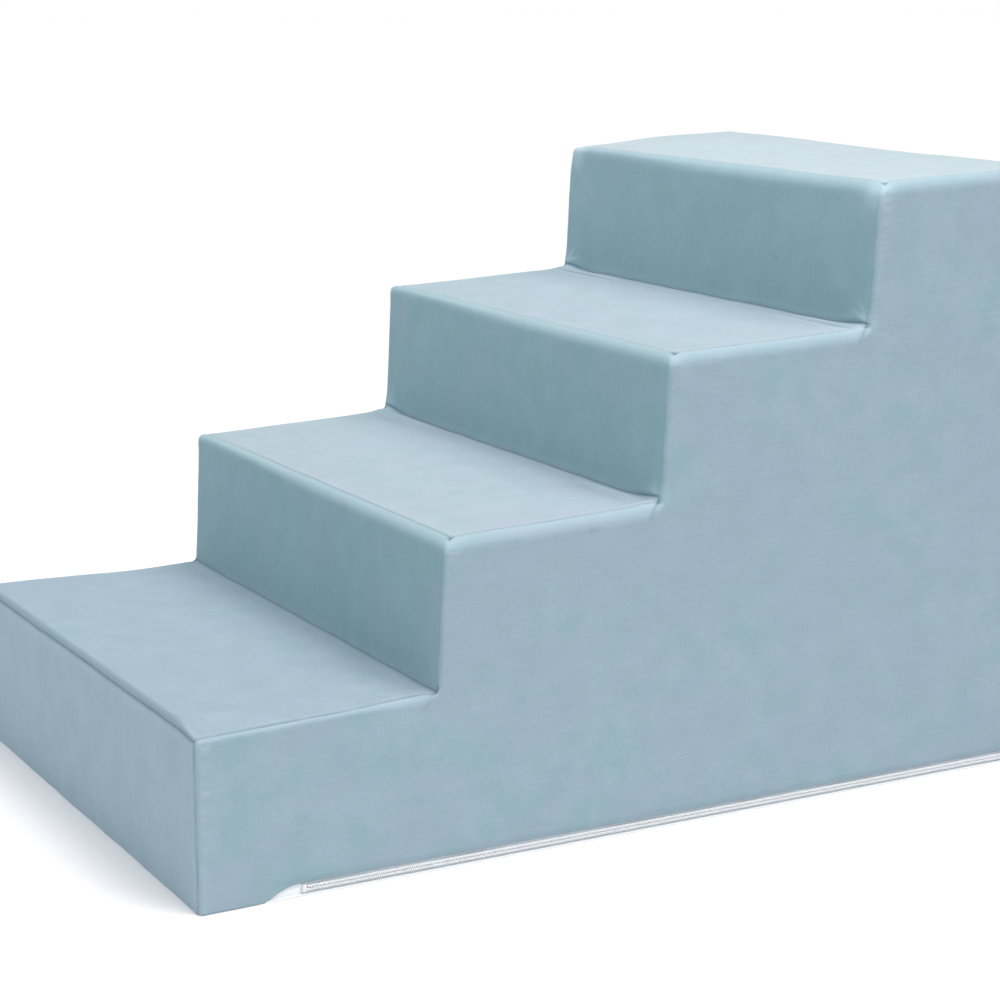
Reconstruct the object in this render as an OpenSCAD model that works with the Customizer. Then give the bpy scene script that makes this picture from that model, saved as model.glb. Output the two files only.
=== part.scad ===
/* [Steps] */
// Width of the stairs from side to side
stairs_w = 380; // [300:1:500]
// Depth of one tread, from the foot of one riser to the foot of the next
going = 152.5; // [120:0.5:200]
// Height of the back of the first tread above the floor
first_rise = 109; // [80:1:140]
// Height of each later tread above the one before it
rise = 97; // [70:1:130]
// How much lower the nose of a tread lies than its back
tread_fall = 6; // [0:0.5:10]
// How far the top of each riser after the first leans back
riser_lean = 4.5; // [0:0.5:8]

/* [Soft edges] */
// Radius of the noses after the first, and of the top edge at the back
nose_r = 10; // [8:0.5:16]
// Radius of the first nose, which is drawn tight over the foam's edge
first_nose_r = 4; // [3:0.5:8]
// Radius of the inner corner between a tread and the next riser
inner_r = 4; // [2:0.5:8]
// Radius of the roll where a side panel turns onto the treads, risers and back
side_roll_r = 8; // [6.5:0.5:14]

/* [Cover] */
// Thickness of the plush cover fabric
fabric_t = 2; // [1.5:0.1:2.5]
// Thickness of the base panel at its hem
base_t = 1.2; // [1:0.1:2]
// Width of the hem round the base panel
hem_w = 12; // [8:1:25]
// Height of the hem below the rest of the base panel
hem_h = 0.5; // [0.3:0.1:0.7]
// Gap between soft layers that lie on each other
layer_gap = 0.3; // [0.2:0.1:0.5]

/* [Grip dots] */
// Radius of one grip dot
dot_r = 3; // [2:0.5:5]
// Distance between grip dots
dot_pitch = 36; // [24:1:60]

/* [Zip] */
// Distance from the front corner to the start of the zip
zip_setback = 40; // [25:1:80]
// Length over which the zip opening grows to its full height
zip_taper = 24; // [15:1:40]
// Width of one coil half
coil_w = 1.6; // [1.2:0.1:2]
// Thickness of the coil
coil_t = 1.8; // [1.4:0.1:2]
// Space between the two coil halves, in which the slider's wedge runs
coil_split = 0.8; // [0.6:0.1:1]
// Width of one tape
tape_w = 12; // [8:0.5:14]
// Thickness of the tape
tape_t = 0.5; // [0.4:0.05:0.8]
// Gap between the coil and its tape
coil_seat = 0.1; // [0.05:0.05:0.2]
// Length of a zip stop along the chain
stop_l = 2.5; // [2:0.1:4]
// Width by which a stop stands past the coil
stop_lip = 0.2; // [0.1:0.05:0.3]

/* [Slider] */
// Length of the slider along the chain
slider_l = 9; // [7:0.5:12]
// Thickness of the slider's outer plate
outer_plate_t = 1; // [0.8:0.1:1.4]
// Thickness of the slider's inner plate
inner_plate_t = 0.8; // [0.6:0.1:1.2]
// Thickness of the slider's side flanges
flange_t = 0.8; // [0.6:0.1:1.2]
// Thickness of the wedge that parts the coil halves
wedge_t = 0.4; // [0.3:0.05:0.5]
// Length of the wedge
wedge_l = 3; // [2:0.5:4]
// Clearance of the slider from the coil
run_gap = 0.25; // [0.2:0.05:0.3]
// Clearance of the slider from the tape and the panels
slide_gap = 0.3; // [0.25:0.05:0.5]

/* [Pull] */
// Radius of the pin at the end of the pull
pin_r = 0.6; // [0.5:0.05:0.8]
// Clearance round the pull's pin
pin_gap = 0.25; // [0.15:0.05:0.3]
// Width of the crown that holds the pull
crown_w = 2.4; // [2:0.1:3]
// Wall of the crown
crown_t = 0.9; // [0.7:0.1:1.2]
// Length of the pull from its pin to its tip
pull_l = 22; // [16:1:30]
// Width of the pull's tab
pull_w = 6; // [5:0.5:8]
// Thickness of the pull
pull_t = 1; // [0.8:0.1:1.1]
// Width of each arm beside the crown
arm_w = 1; // [0.8:0.1:1.3]

/* [Hidden] */

// The four steps, and the steps into which the round edges are cut
step_count = 4;
nose_steps = 6;
inner_steps = 4;
roll_steps = 4;
// Overrun of every cut past the surface that it leaves
cut = 1;
// Radius that is left to an outward corner where it lies deeper than its own radius
tight_r = 0.5;

// Overall length and height
stairs_l = going * step_count;
stairs_h = first_rise + rise * (step_count - 1);
front_y = -stairs_l / 2;
back_y = stairs_l / 2;
// Where the side rolls begin, measured from the middle
roll_x = stairs_w / 2 - side_roll_r;
// Depth of the foam under the cover
foam_depth = fabric_t + layer_gap;

// Depths of the zip's layers below the face of the side panels
tape_depth = fabric_t + layer_gap;
coil_depth = tape_depth - coil_seat - coil_t;
inner_plate_depth = tape_depth + tape_t + slide_gap;
relief_depth = inner_plate_depth + inner_plate_t + slide_gap;
outer_plate_depth = coil_depth - slide_gap;

// Heights of the zip's layers above the floor
coil_edge = coil_split / 2 + coil_w;
slider_half_w = coil_edge + run_gap + flange_t;
chain_z = base_t + slide_gap + slider_half_w;
zip_top_z = chain_z + slider_half_w + slide_gap;
tape_top_z = chain_z + coil_split / 2 + tape_w;
relief_z = tape_top_z + layer_gap;

// Places along the chain
opening_y = front_y + zip_setback;
full_opening_y = opening_y + zip_taper;
coil_start_y = full_opening_y + stop_l;
slider_y = coil_start_y + slide_gap + slider_l / 2;

// Places on the slider, measured outwards from the face of the side panel
plate_out = outer_plate_t - outer_plate_depth;
pin_out = plate_out + pin_gap + pin_r;
crown_in_half = pin_r + pin_gap;
crown_half_l = crown_in_half + crown_t;
crown_out = pin_out + pin_r + pin_gap + crown_t;
arm_in = crown_w / 2 + pin_gap;
arm_out = arm_in + arm_w;
pin_half_l = (arm_in + arm_out) / 2;
window_l = norm([crown_half_l, crown_out - pin_out]) + pull_t / 2 + pin_gap;
pull_hole_share = 0.4;
pull_hole_r = pull_hole_share * pull_w / 2;

function tread_z(k) = first_rise + rise * (k - 1);
function foot(k) = [front_y + going * (k - 1), k == 1 ? 0 : tread_z(k - 1)];
function lean(k) = k == 1 ? 0 : riser_lean;
function nose(k) = [foot(k).x + lean(k), tread_z(k) - tread_fall];
function back_top() = [back_y, stairs_h];

// Angle of the outward normal of the line from a to b, and a point on the unit circle
function normal_angle(a, b) = atan2(b.y - a.y, b.x - a.x) + 90;
function unit(angle) = [cos(angle), sin(angle)];

// Round corner at p, bulging outwards for side 1 and inwards for side -1, at a depth below the cover
function round_corner(before, p, after, r, side, depth, steps, first, last) =
    let (a = normal_angle(before, p))
    let (b = normal_angle(p, after))
    let (full_r = side > 0 ? max(r, depth + tight_r) : r)
    let (middle = p - side * full_r / pow(cos((a - b) / 2), 2) / 2 * (unit(a) + unit(b)))
    [for (i = [first:last]) middle + side * (full_r - side * depth) * unit(a + (b - a) * i / steps)];

// Part of the nose of step k, and part of the inner corner at the foot of step k
function nose_arc(k, depth, first = 0, last = nose_steps) =
    round_corner(foot(k), nose(k), k == step_count ? back_top() : foot(k + 1),
        k == 1 ? first_nose_r : nose_r, 1, depth, nose_steps, first, last);
function foot_arc(k, depth, first = 0, last = inner_steps) =
    round_corner(nose(k - 1), foot(k), nose(k), inner_r, -1, depth, inner_steps, first, last);
function back_arc(depth, first = 0, last = nose_steps) =
    round_corner(nose(step_count), back_top(), [back_y, 0], nose_r, 1, depth, nose_steps, first, last);

// Whole side outline from the floor up the steps and down the back, at a depth below the cover
function stair_line(depth, floor_z) = concat(
    [[front_y + depth, floor_z]],
    nose_arc(1, depth),
    [for (k = [2:step_count]) each concat(foot_arc(k, depth), nose_arc(k, depth))],
    back_arc(depth),
    [[back_y - depth, floor_z]]);

// Stations of the side roll: place across the stairs, and depth of the outline there
function roll_stations(depth) = [for (i = [0:roll_steps])
    let (angle = 90 * i / roll_steps)
    let (r = side_roll_r - depth)
    [roll_x + r * sin(angle), side_roll_r - r * cos(angle)]];
function mirrored_stations(list) = [for (i = [len(list) - 1:-1:0]) [-list[i].x, list[i].y]];

// Solid between side outlines that stand one behind another across the stairs.
// Each end is a fan of triangles from the bottom of the back, from where all of the outline is in sight
module loft(stations, floor_z) {
    rings = [for (s = stations) [for (p = stair_line(s.y, floor_z)) [s.x, p.x, p.y]]];
    n = len(rings[0]);
    last_ring = (len(rings) - 1) * n;
    polyhedron(
        points = [for (ring = rings) each ring],
        faces = concat(
            [for (i = [0:n - 3]) [n - 1, i + 1, i]],
            [for (j = [0:n:last_ring - n], i = [0:n - 1]) each
                let (a = j + i)
                let (b = j + (i + 1) % n)
                [[a, b, b + n], [a, b + n, a + n]]],
            [for (i = [0:n - 3]) [last_ring + n - 1, last_ring + i, last_ring + i + 1]]));
}

// Flat outline of depth and height, drawn out across the stairs
module across(w) {
    rotate([90, 0, 90]) linear_extrude(w, center = true) children();
}

// Footprint of the stairs at a depth below the side panels
module footprint(depth) {
    r = side_roll_r - depth;
    w = stairs_w - 2 * depth;
    l = stairs_l - 2 * depth;
    square([w - 2 * r, l], center = true);
    square([w, l - 2 * r], center = true);
    for (x = [-1, 1], y = [-1, 1]) {
        translate([x * (w / 2 - r), y * (l / 2 - r)]) circle(r, $fn = 48);
    }
}

// Foam slab of step k, glued to the slab below it
module foam_slab(k) {
    bottom_z = k == 1 ? 0 : tread_z(k - 1);
    top_z = k == step_count ? stairs_h : tread_z(k);
    stations = roll_stations(foam_depth);
    color("lightyellow") difference() {
        intersection() {
            loft(concat(mirrored_stations(stations), stations), base_t);
            translate([-stairs_w / 2, front_y, bottom_z]) cube([stairs_w, stairs_l, top_z - bottom_z]);
        }
        if (k == 1) {
            zip_relief();
        }
    }
}

// Room behind the zip along both sides and the back
module zip_relief() {
    linear_extrude(relief_z) difference() {
        translate([-stairs_w / 2, opening_y - layer_gap]) square([stairs_w, stairs_l]);
        footprint(relief_depth);
    }
}

// Side panel with its rolled edge, open along the bottom for the zip
module side_panel() {
    inner = roll_stations(fabric_t);
    color("lightblue") difference() {
        loft(roll_stations(0), base_t);
        loft(concat([[roll_x - cut, fabric_t]], inner), -cut);
        across(2 * stairs_w) polygon([[opening_y, -cut], [opening_y, base_t],
            [full_opening_y, zip_top_z], [back_y + cut, zip_top_z], [back_y + cut, -cut]]);
    }
}

// Sheet of fabric between its outer and its inner line
module sheet(outer, inner) {
    color("skyblue") across(2 * roll_x) {
        polygon(concat(outer, [for (i = [len(inner) - 1:-1:0]) inner[i]]));
    }
}

function riser_line(k, depth) = concat(
    k == 1 ? [[front_y + depth, base_t]] : foot_arc(k, depth, inner_steps / 2),
    nose_arc(k, depth, 0, nose_steps / 2));
function tread_line(k, depth) = concat(
    nose_arc(k, depth, nose_steps / 2),
    k == step_count ? back_arc(depth, 0, nose_steps / 2) : foot_arc(k + 1, depth, 0, inner_steps / 2));
function back_line(depth) = concat(back_arc(depth, nose_steps / 2), [[back_y - depth, zip_top_z]]);

module riser_panel(k) {
    sheet(riser_line(k, 0), riser_line(k, fabric_t));
}

module tread_panel(k) {
    sheet(tread_line(k, 0), tread_line(k, fabric_t));
}

module back_panel() {
    sheet(back_line(0), back_line(fabric_t));
}

// Base panel, which stands on its hem
module base_panel() {
    color("white") difference() {
        linear_extrude(base_t) footprint(coil_depth);
        translate([0, 0, -cut]) linear_extrude(cut + hem_h) footprint_inside_hem();
    }
}

module footprint_inside_hem() {
    square([stairs_w - 2 * hem_w, stairs_l - 2 * hem_w], center = true);
}

// Rubber dots on the underside, level with the hem
module grip_dots() {
    border = hem_w + 2 * dot_r;
    columns = floor((stairs_w - 2 * border) / dot_pitch);
    rows = floor((stairs_l - 2 * border) / dot_pitch);
    color("gainsboro") for (i = [0:columns], j = [0:rows]) {
        translate([(i - columns / 2) * dot_pitch, (j - rows / 2) * dot_pitch]) {
            cylinder(h = hem_h, r = dot_r, $fn = 24);
        }
    }
}

// Band round both sides and the back, between two depths and two heights
module zip_band(outer, inner, low_z, high_z, start_y) {
    translate([0, 0, low_z]) linear_extrude(high_z - low_z) difference() {
        footprint(outer);
        footprint(inner);
        translate([-stairs_w, start_y - stairs_l]) square([2 * stairs_w, stairs_l]);
    }
}

module zipper_tape_upper() {
    color("white") zip_band(tape_depth, tape_depth + tape_t, chain_z + coil_split / 2, tape_top_z, opening_y);
}

module zipper_tape_lower() {
    color("white") zip_band(tape_depth, tape_depth + tape_t, base_t, chain_z - coil_split / 2, opening_y);
}

// Half of the coil, above the split for side 1 and below it for side -1
module zipper_coil(side) {
    edges = [side * coil_split / 2, side * coil_edge];
    color("ghostwhite") {
        zip_band(coil_depth, coil_depth + coil_t, chain_z + min(edges), chain_z + max(edges), coil_start_y);
    }
}

// Stop block at the end of the coil, on the left for side -1 and on the right for side 1
module stop_block(side, low, high) {
    depth = coil_depth - stop_lip;
    translate([side * (stairs_w / 2 - depth), coil_start_y - stop_l, chain_z + low]) {
        mirror([side > 0 ? 1 : 0, 0, 0]) cube([coil_t + stop_lip, stop_l, high - low]);
    }
}

module zipper_top_stops() {
    color("silver") {
        stop_block(-1, coil_split / 2, coil_edge + stop_lip);
        stop_block(-1, -coil_edge - stop_lip, -coil_split / 2);
    }
}

module zipper_bottom_stop() {
    color("silver") stop_block(1, -coil_edge - stop_lip, coil_edge + stop_lip);
}

// Frame on the left side of the zip: +X outwards, +Y along the chain, origin at the slider
module at_slider() {
    translate([-stairs_w / 2, slider_y, chain_z]) mirror([1, 0, 0]) children();
}

// Plate of the slider with round ends
module slider_plate(x, t, l) {
    translate([x, 0, 0]) rotate([0, 90, 0]) linear_extrude(t) intersection() {
        square([2 * slider_half_w, l], center = true);
        circle(norm([slider_half_w, l / 2]) - flange_t, $fn = 64);
    }
}

// Slider with two plates, flanges, the wedge between the coil halves and the crown
module zipper_slider() {
    flange_l = slider_l - 2 * flange_t;
    flange_in = tape_depth - slide_gap;
    color("silver") at_slider() {
        difference() {
            union() {
                slider_plate(-outer_plate_depth, outer_plate_t, slider_l);
                for (z = [-slider_half_w, slider_half_w - flange_t]) {
                    translate([-flange_in, -flange_l / 2, z]) {
                        cube([flange_in - outer_plate_depth + outer_plate_t / 2, flange_l, flange_t]);
                    }
                }
                slider_plate(-inner_plate_depth - inner_plate_t, inner_plate_t, slider_l);
                translate([-inner_plate_depth - inner_plate_t / 2, -slider_l / 2 + flange_t, -wedge_t / 2]) {
                    cube([inner_plate_depth + inner_plate_t / 2, wedge_l, wedge_t]);
                }
                crown_block();
            }
            translate([plate_out, -crown_in_half, -crown_w]) {
                cube([crown_out - plate_out - crown_t, 2 * crown_in_half, 2 * crown_w]);
            }
        }
    }
}

// Crown with round shoulders, not yet hollowed
module crown_block() {
    translate([0, 0, -crown_w / 2]) linear_extrude(crown_w) {
        translate([0, -crown_half_l]) square([crown_out - crown_t, 2 * crown_half_l]);
        translate([0, -crown_half_l + crown_t]) square([crown_out, 2 * (crown_half_l - crown_t)]);
        for (y = [-1, 1]) {
            translate([crown_out - crown_t, y * (crown_half_l - crown_t)]) circle(crown_t, $fn = 32);
        }
    }
}

// Pull with its pin under the crown, two arms beside it, and a tab with a hole
module zipper_pull() {
    tip_r = pull_w / 2;
    tab_start = window_l + arm_w;
    color("whitesmoke") at_slider() translate([pin_out, 0, 0]) {
        translate([0, 0, -pin_half_l]) cylinder(h = 2 * pin_half_l, r = pin_r, $fn = 32);
        for (z = [-arm_out, arm_in]) {
            translate([0, 0, z]) cylinder(h = arm_w, r = pull_t / 2, $fn = 32);
            translate([-pull_t / 2, 0, z]) cube([pull_t, window_l + cut, arm_w]);
        }
        translate([-pull_t / 2, 0, 0]) rotate([0, 90, 0]) linear_extrude(pull_t) difference() {
            union() {
                translate([-arm_out, window_l]) square([2 * arm_out, arm_w]);
                translate([-pull_w / 2, tab_start]) square([pull_w, pull_l - tip_r - tab_start]);
                translate([0, pull_l - tip_r]) circle(tip_r, $fn = 48);
            }
            translate([0, pull_l - tip_r]) circle(pull_hole_r, $fn = 32);
        }
    }
}

foam_slab(1);  // foam_base_slab
foam_slab(2);  // foam_second_slab
foam_slab(3);  // foam_third_slab
foam_slab(4);  // foam_top_slab
side_panel();  // side_panel_right
mirror([1, 0, 0]) side_panel();  // side_panel_left
riser_panel(1);  // riser_panel_1
riser_panel(2);  // riser_panel_2
riser_panel(3);  // riser_panel_3
riser_panel(4);  // riser_panel_4
tread_panel(1);  // tread_panel_1
tread_panel(2);  // tread_panel_2
tread_panel(3);  // tread_panel_3
tread_panel(4);  // tread_panel_4
back_panel();
base_panel();
grip_dots();
zipper_tape_upper();
zipper_tape_lower();
zipper_coil(1);  // zipper_coil_upper
zipper_coil(-1);  // zipper_coil_lower
zipper_top_stops();
zipper_bottom_stop();
zipper_slider();
zipper_pull();
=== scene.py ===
"""Foam pet stairs in a dusty blue plush cover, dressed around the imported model.

Each class holds the sizes of one group of pieces, builds its meshes and gives them their finish.
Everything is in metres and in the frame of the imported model: +Y climbs the steps, +X is the side
that the camera sees, and the floor is at zero.
"""

import logging
import math
import random
from collections.abc import Callable
from dataclasses import dataclass
from enum import Enum

import bmesh
import bpy
import numpy as np
from bpy.types import Material, Mesh, Node, NodeSocket, NodeTree, Object
from mathutils import Matrix, Vector, noise
from mathutils.kdtree import KDTree


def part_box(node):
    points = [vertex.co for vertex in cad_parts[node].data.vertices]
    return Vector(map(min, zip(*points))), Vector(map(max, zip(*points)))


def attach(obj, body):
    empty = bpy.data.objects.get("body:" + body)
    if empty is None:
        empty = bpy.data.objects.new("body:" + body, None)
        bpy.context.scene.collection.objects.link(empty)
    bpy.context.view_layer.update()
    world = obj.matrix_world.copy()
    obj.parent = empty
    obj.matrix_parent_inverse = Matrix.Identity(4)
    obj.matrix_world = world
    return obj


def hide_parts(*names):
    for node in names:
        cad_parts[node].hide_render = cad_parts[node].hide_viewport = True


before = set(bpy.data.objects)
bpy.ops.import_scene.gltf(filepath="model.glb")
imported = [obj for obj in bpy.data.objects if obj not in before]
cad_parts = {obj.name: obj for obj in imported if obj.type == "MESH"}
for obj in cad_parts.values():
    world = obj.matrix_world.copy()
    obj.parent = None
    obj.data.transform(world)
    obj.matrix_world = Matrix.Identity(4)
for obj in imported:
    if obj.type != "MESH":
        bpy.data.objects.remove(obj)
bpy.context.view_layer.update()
MM = 0.001
Array = np.ndarray
GRADED_SHARE = 0.45
log = logging.getLogger("pet_stairs")


class Side(Enum):
    """The two sides of the stairs, as the sign of X."""

    RIGHT = 1
    LEFT = -1

    @property
    def word(self) -> str:
        """Name of the side in piece names."""
        return self.name.lower()


# Small helpers for meshes


def smooth(t: Array) -> Array:
    """Smooth step of t between 0 and 1."""
    t = np.clip(t, 0.0, 1.0)
    return t * t * (3.0 - 2.0 * t)


def rising(value: Array, low: float, high: float) -> Array:
    """Smooth step that is 0 up to low and 1 from high on."""
    return smooth((value - low) / (high - low))


def bell(distance: Array, width: float) -> Array:
    """Bell curve that is 1 at no distance and fades over the width."""
    return np.exp(-((distance / width) ** 2))


def graded(length: float, first: float, last: float, most: float, growth: float) -> Array:
    """Places from 0 to length, close together at both ends and further apart in the middle.

    Args:
        length: Distance to cover.
        first: Spacing at the start.
        last: Spacing at the end.
        most: Widest spacing.
        growth: Ratio of one spacing to the one before it.

    Returns:
        The places in rising order, the first at 0 and the last at length.
    """
    ends = []
    for step in (first, last):
        run = []
        while step < most and sum(run) + step < GRADED_SHARE * length:
            run.append(step)
            step *= growth
        ends.append(run)
    middle = length - sum(ends[0]) - sum(ends[1])
    count = max(1, round(middle / most))
    steps = ends[0] + [middle / count] * count + ends[1][::-1]
    return np.concatenate([[0.0], np.cumsum(steps)]) * (length / sum(steps))


def wander(points: Array, wavelength: float, seed: float) -> Array:
    """Smooth noise from about -1 to 1 at each point, different for each seed."""
    shift = Vector((seed * 7.31, seed * 3.17, seed * 5.03))
    return np.array([noise.noise(Vector(p) / wavelength + shift) for p in points])


def wander_along(places: Array, wavelength: float, seed: float) -> Array:
    """Smooth noise along a line, from about -1 to 1."""
    points = np.asarray(places, float).reshape(-1, 1) * (1.0, 0.0, 0.0)
    return wander(points, wavelength, seed).reshape(np.shape(places))


@dataclass(frozen=True)
class Wave:
    """Waviness with a height, a wavelength and a seed."""

    height: float
    length: float
    seed: float

    def along(self, places: Array, shift: float = 0.0) -> Array:
        """How far the wave moves each place on a line."""
        return self.height * wander_along(places, self.length, self.seed + shift)

    def over(self, points: Array) -> Array:
        """How far the wave moves each point in space."""
        return self.height * wander(points, self.length, self.seed)


def grid(columns: Array, rows: Array) -> bmesh.types.BMesh:
    """Flat grid whose columns and rows lie at the given places along X and Y.

    Args:
        columns: Places of the columns.
        rows: Places of the rows.

    Returns:
        The grid's bmesh.
    """
    bm = bmesh.new()
    across, along = len(columns) - 1, len(rows) - 1
    bmesh.ops.create_grid(bm, x_segments=across, y_segments=along, size=1.0)
    for v in bm.verts:
        i, j = round((v.co.x + 1) / 2 * across), round((v.co.y + 1) / 2 * along)
        v.co = (columns[i], rows[j], 0.0)
    return bm


def points_of(mesh: Mesh) -> Array:
    """Places of a mesh's vertices, one row each."""
    return np.array([v.co for v in mesh.vertices], float)


def place_points(mesh: Mesh, points: Array) -> None:
    """Moves a mesh's vertices to the given places."""
    mesh.vertices.foreach_set("co", points.astype(np.float32).ravel())
    mesh.update()


def set_values(mesh: Mesh, name: str, values: Array) -> None:
    """Stores one number for each vertex as an attribute that materials read."""
    layer = mesh.attributes.get(name) or mesh.attributes.new(name, "FLOAT", "POINT")
    layer.data.foreach_set("value", values.astype(np.float32))


def get_values(mesh: Mesh, name: str) -> Array:
    """Numbers of an attribute, one for each vertex."""
    return np.array([item.value for item in mesh.attributes[name].data], float)


def to_object(bm: bmesh.types.BMesh, name: str, smooth_shade: bool = True) -> Object:
    """Turns a bmesh into an object in the scene and frees it.

    Args:
        bm: The bmesh.
        name: Name of the piece.
        smooth_shade: Whether its faces are shaded smooth.

    Returns:
        The object.
    """
    mesh = bpy.data.meshes.new(name)
    bm.to_mesh(mesh)
    bm.free()
    for polygon in mesh.polygons:
        polygon.use_smooth = smooth_shade
    thing = bpy.data.objects.new(name, mesh)
    bpy.context.scene.collection.objects.link(thing)
    return thing


def thicken(thing: Object, thickness: float) -> None:
    """Gives a sheet its thickness on the inner side.

    Args:
        thing: The sheet.
        thickness: Its thickness.
    """
    wall = thing.modifiers.new("Wall", "SOLIDIFY")
    wall.thickness = thickness
    wall.offset = -1.0
    wall.use_even_offset = False


def search_tree(points: Array) -> KDTree:
    """Search tree of the given points.

    Args:
        points: One row of three coordinates for each point.

    Returns:
        The tree, which gives rows by number.
    """
    tree = KDTree(len(points))
    for i, p in enumerate(points):
        tree.insert(p, i)
    tree.balance()
    return tree


def dress(piece: Object, material: Material, body: str = "stairs") -> Object:
    """Gives a piece its finish and its place in the object.

    Args:
        piece: The piece.
        material: Its finish.
        body: Body that it rides on.

    Returns:
        The piece.
    """
    piece.data.materials.append(material)
    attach(piece, body)
    return piece


# The outline of the stairs


@dataclass(frozen=True)
class StairSizes:
    """Driving sizes of the stairs. The overall ones come from the frame.

    Attributes:
        base: Thickness of the base cloth.
        tight_roll: Radius with which a side panel rolls over a riser's edge.
        side_roll: Radius with which the right side panel rolls over a tread's edge.
        far_roll: The same for the left side panel, which is drawn tighter.
        edge: Height of the cover's lower edge above the floor.
    """

    width: float
    length: float
    rise: float
    zip_top: float
    base: float
    steps: int = 4
    first_rise: float = 109 * MM
    tread_fall: float = 6 * MM
    riser_lean: float = 4.5 * MM
    foot_r: float = 4 * MM
    back_r: float = 10 * MM
    nose_r: tuple[float, ...] = (2.8 * MM, 9 * MM, 9.5 * MM, 10.5 * MM)
    tight_roll: float = 2.8 * MM
    side_roll: float = 8.5 * MM
    far_roll: float = 4.5 * MM
    near_corner: float = 32 * MM
    fabric: float = 2 * MM
    edge: float = 0.3 * MM

    @classmethod
    def from_frame(cls) -> "StairSizes":
        """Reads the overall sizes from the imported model.

        Returns:
            The sizes.
        """
        low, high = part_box("side_panel_right")
        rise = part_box("tread_panel_3")[1].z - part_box("tread_panel_2")[1].z
        return cls(
            width=2 * high.x,
            length=high.y - low.y,
            rise=rise,
            zip_top=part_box("back_panel")[0].z,
            base=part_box("base_panel")[1].z,
        )

    @property
    def going(self) -> float:
        """Depth of one tread."""
        return self.length / self.steps

    @property
    def front(self) -> float:
        """Y of the front face."""
        return -self.length / 2

    @property
    def back(self) -> float:
        """Y of the back face."""
        return self.length / 2

    @property
    def half(self) -> float:
        """Half of the width."""
        return self.width / 2

    def wide_roll(self, side: Side) -> float:
        """Radius with which a side panel rolls over a tread's edge."""
        return self.side_roll if side is Side.RIGHT else self.far_roll

    def off_near_side(self, x: Array) -> Array:
        """Share that is 0 at the right side and rises to 1 past the near corner."""
        return smooth((self.half - x) / self.near_corner)

    def tread_z(self, k: int) -> float:
        """Height of the back of tread k."""
        return self.first_rise + self.rise * (k - 1)

    def foot(self, k: int) -> tuple[float, float]:
        """Y and Z of the foot of riser k."""
        return self.front + self.going * (k - 1), 0.0 if k == 1 else self.tread_z(k - 1)

    def nose(self, k: int) -> tuple[float, float]:
        """Y and Z of the sharp nose of step k."""
        lean = 0.0 if k == 1 else self.riser_lean
        return self.foot(k)[0] + lean, self.tread_z(k) - self.tread_fall


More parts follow.
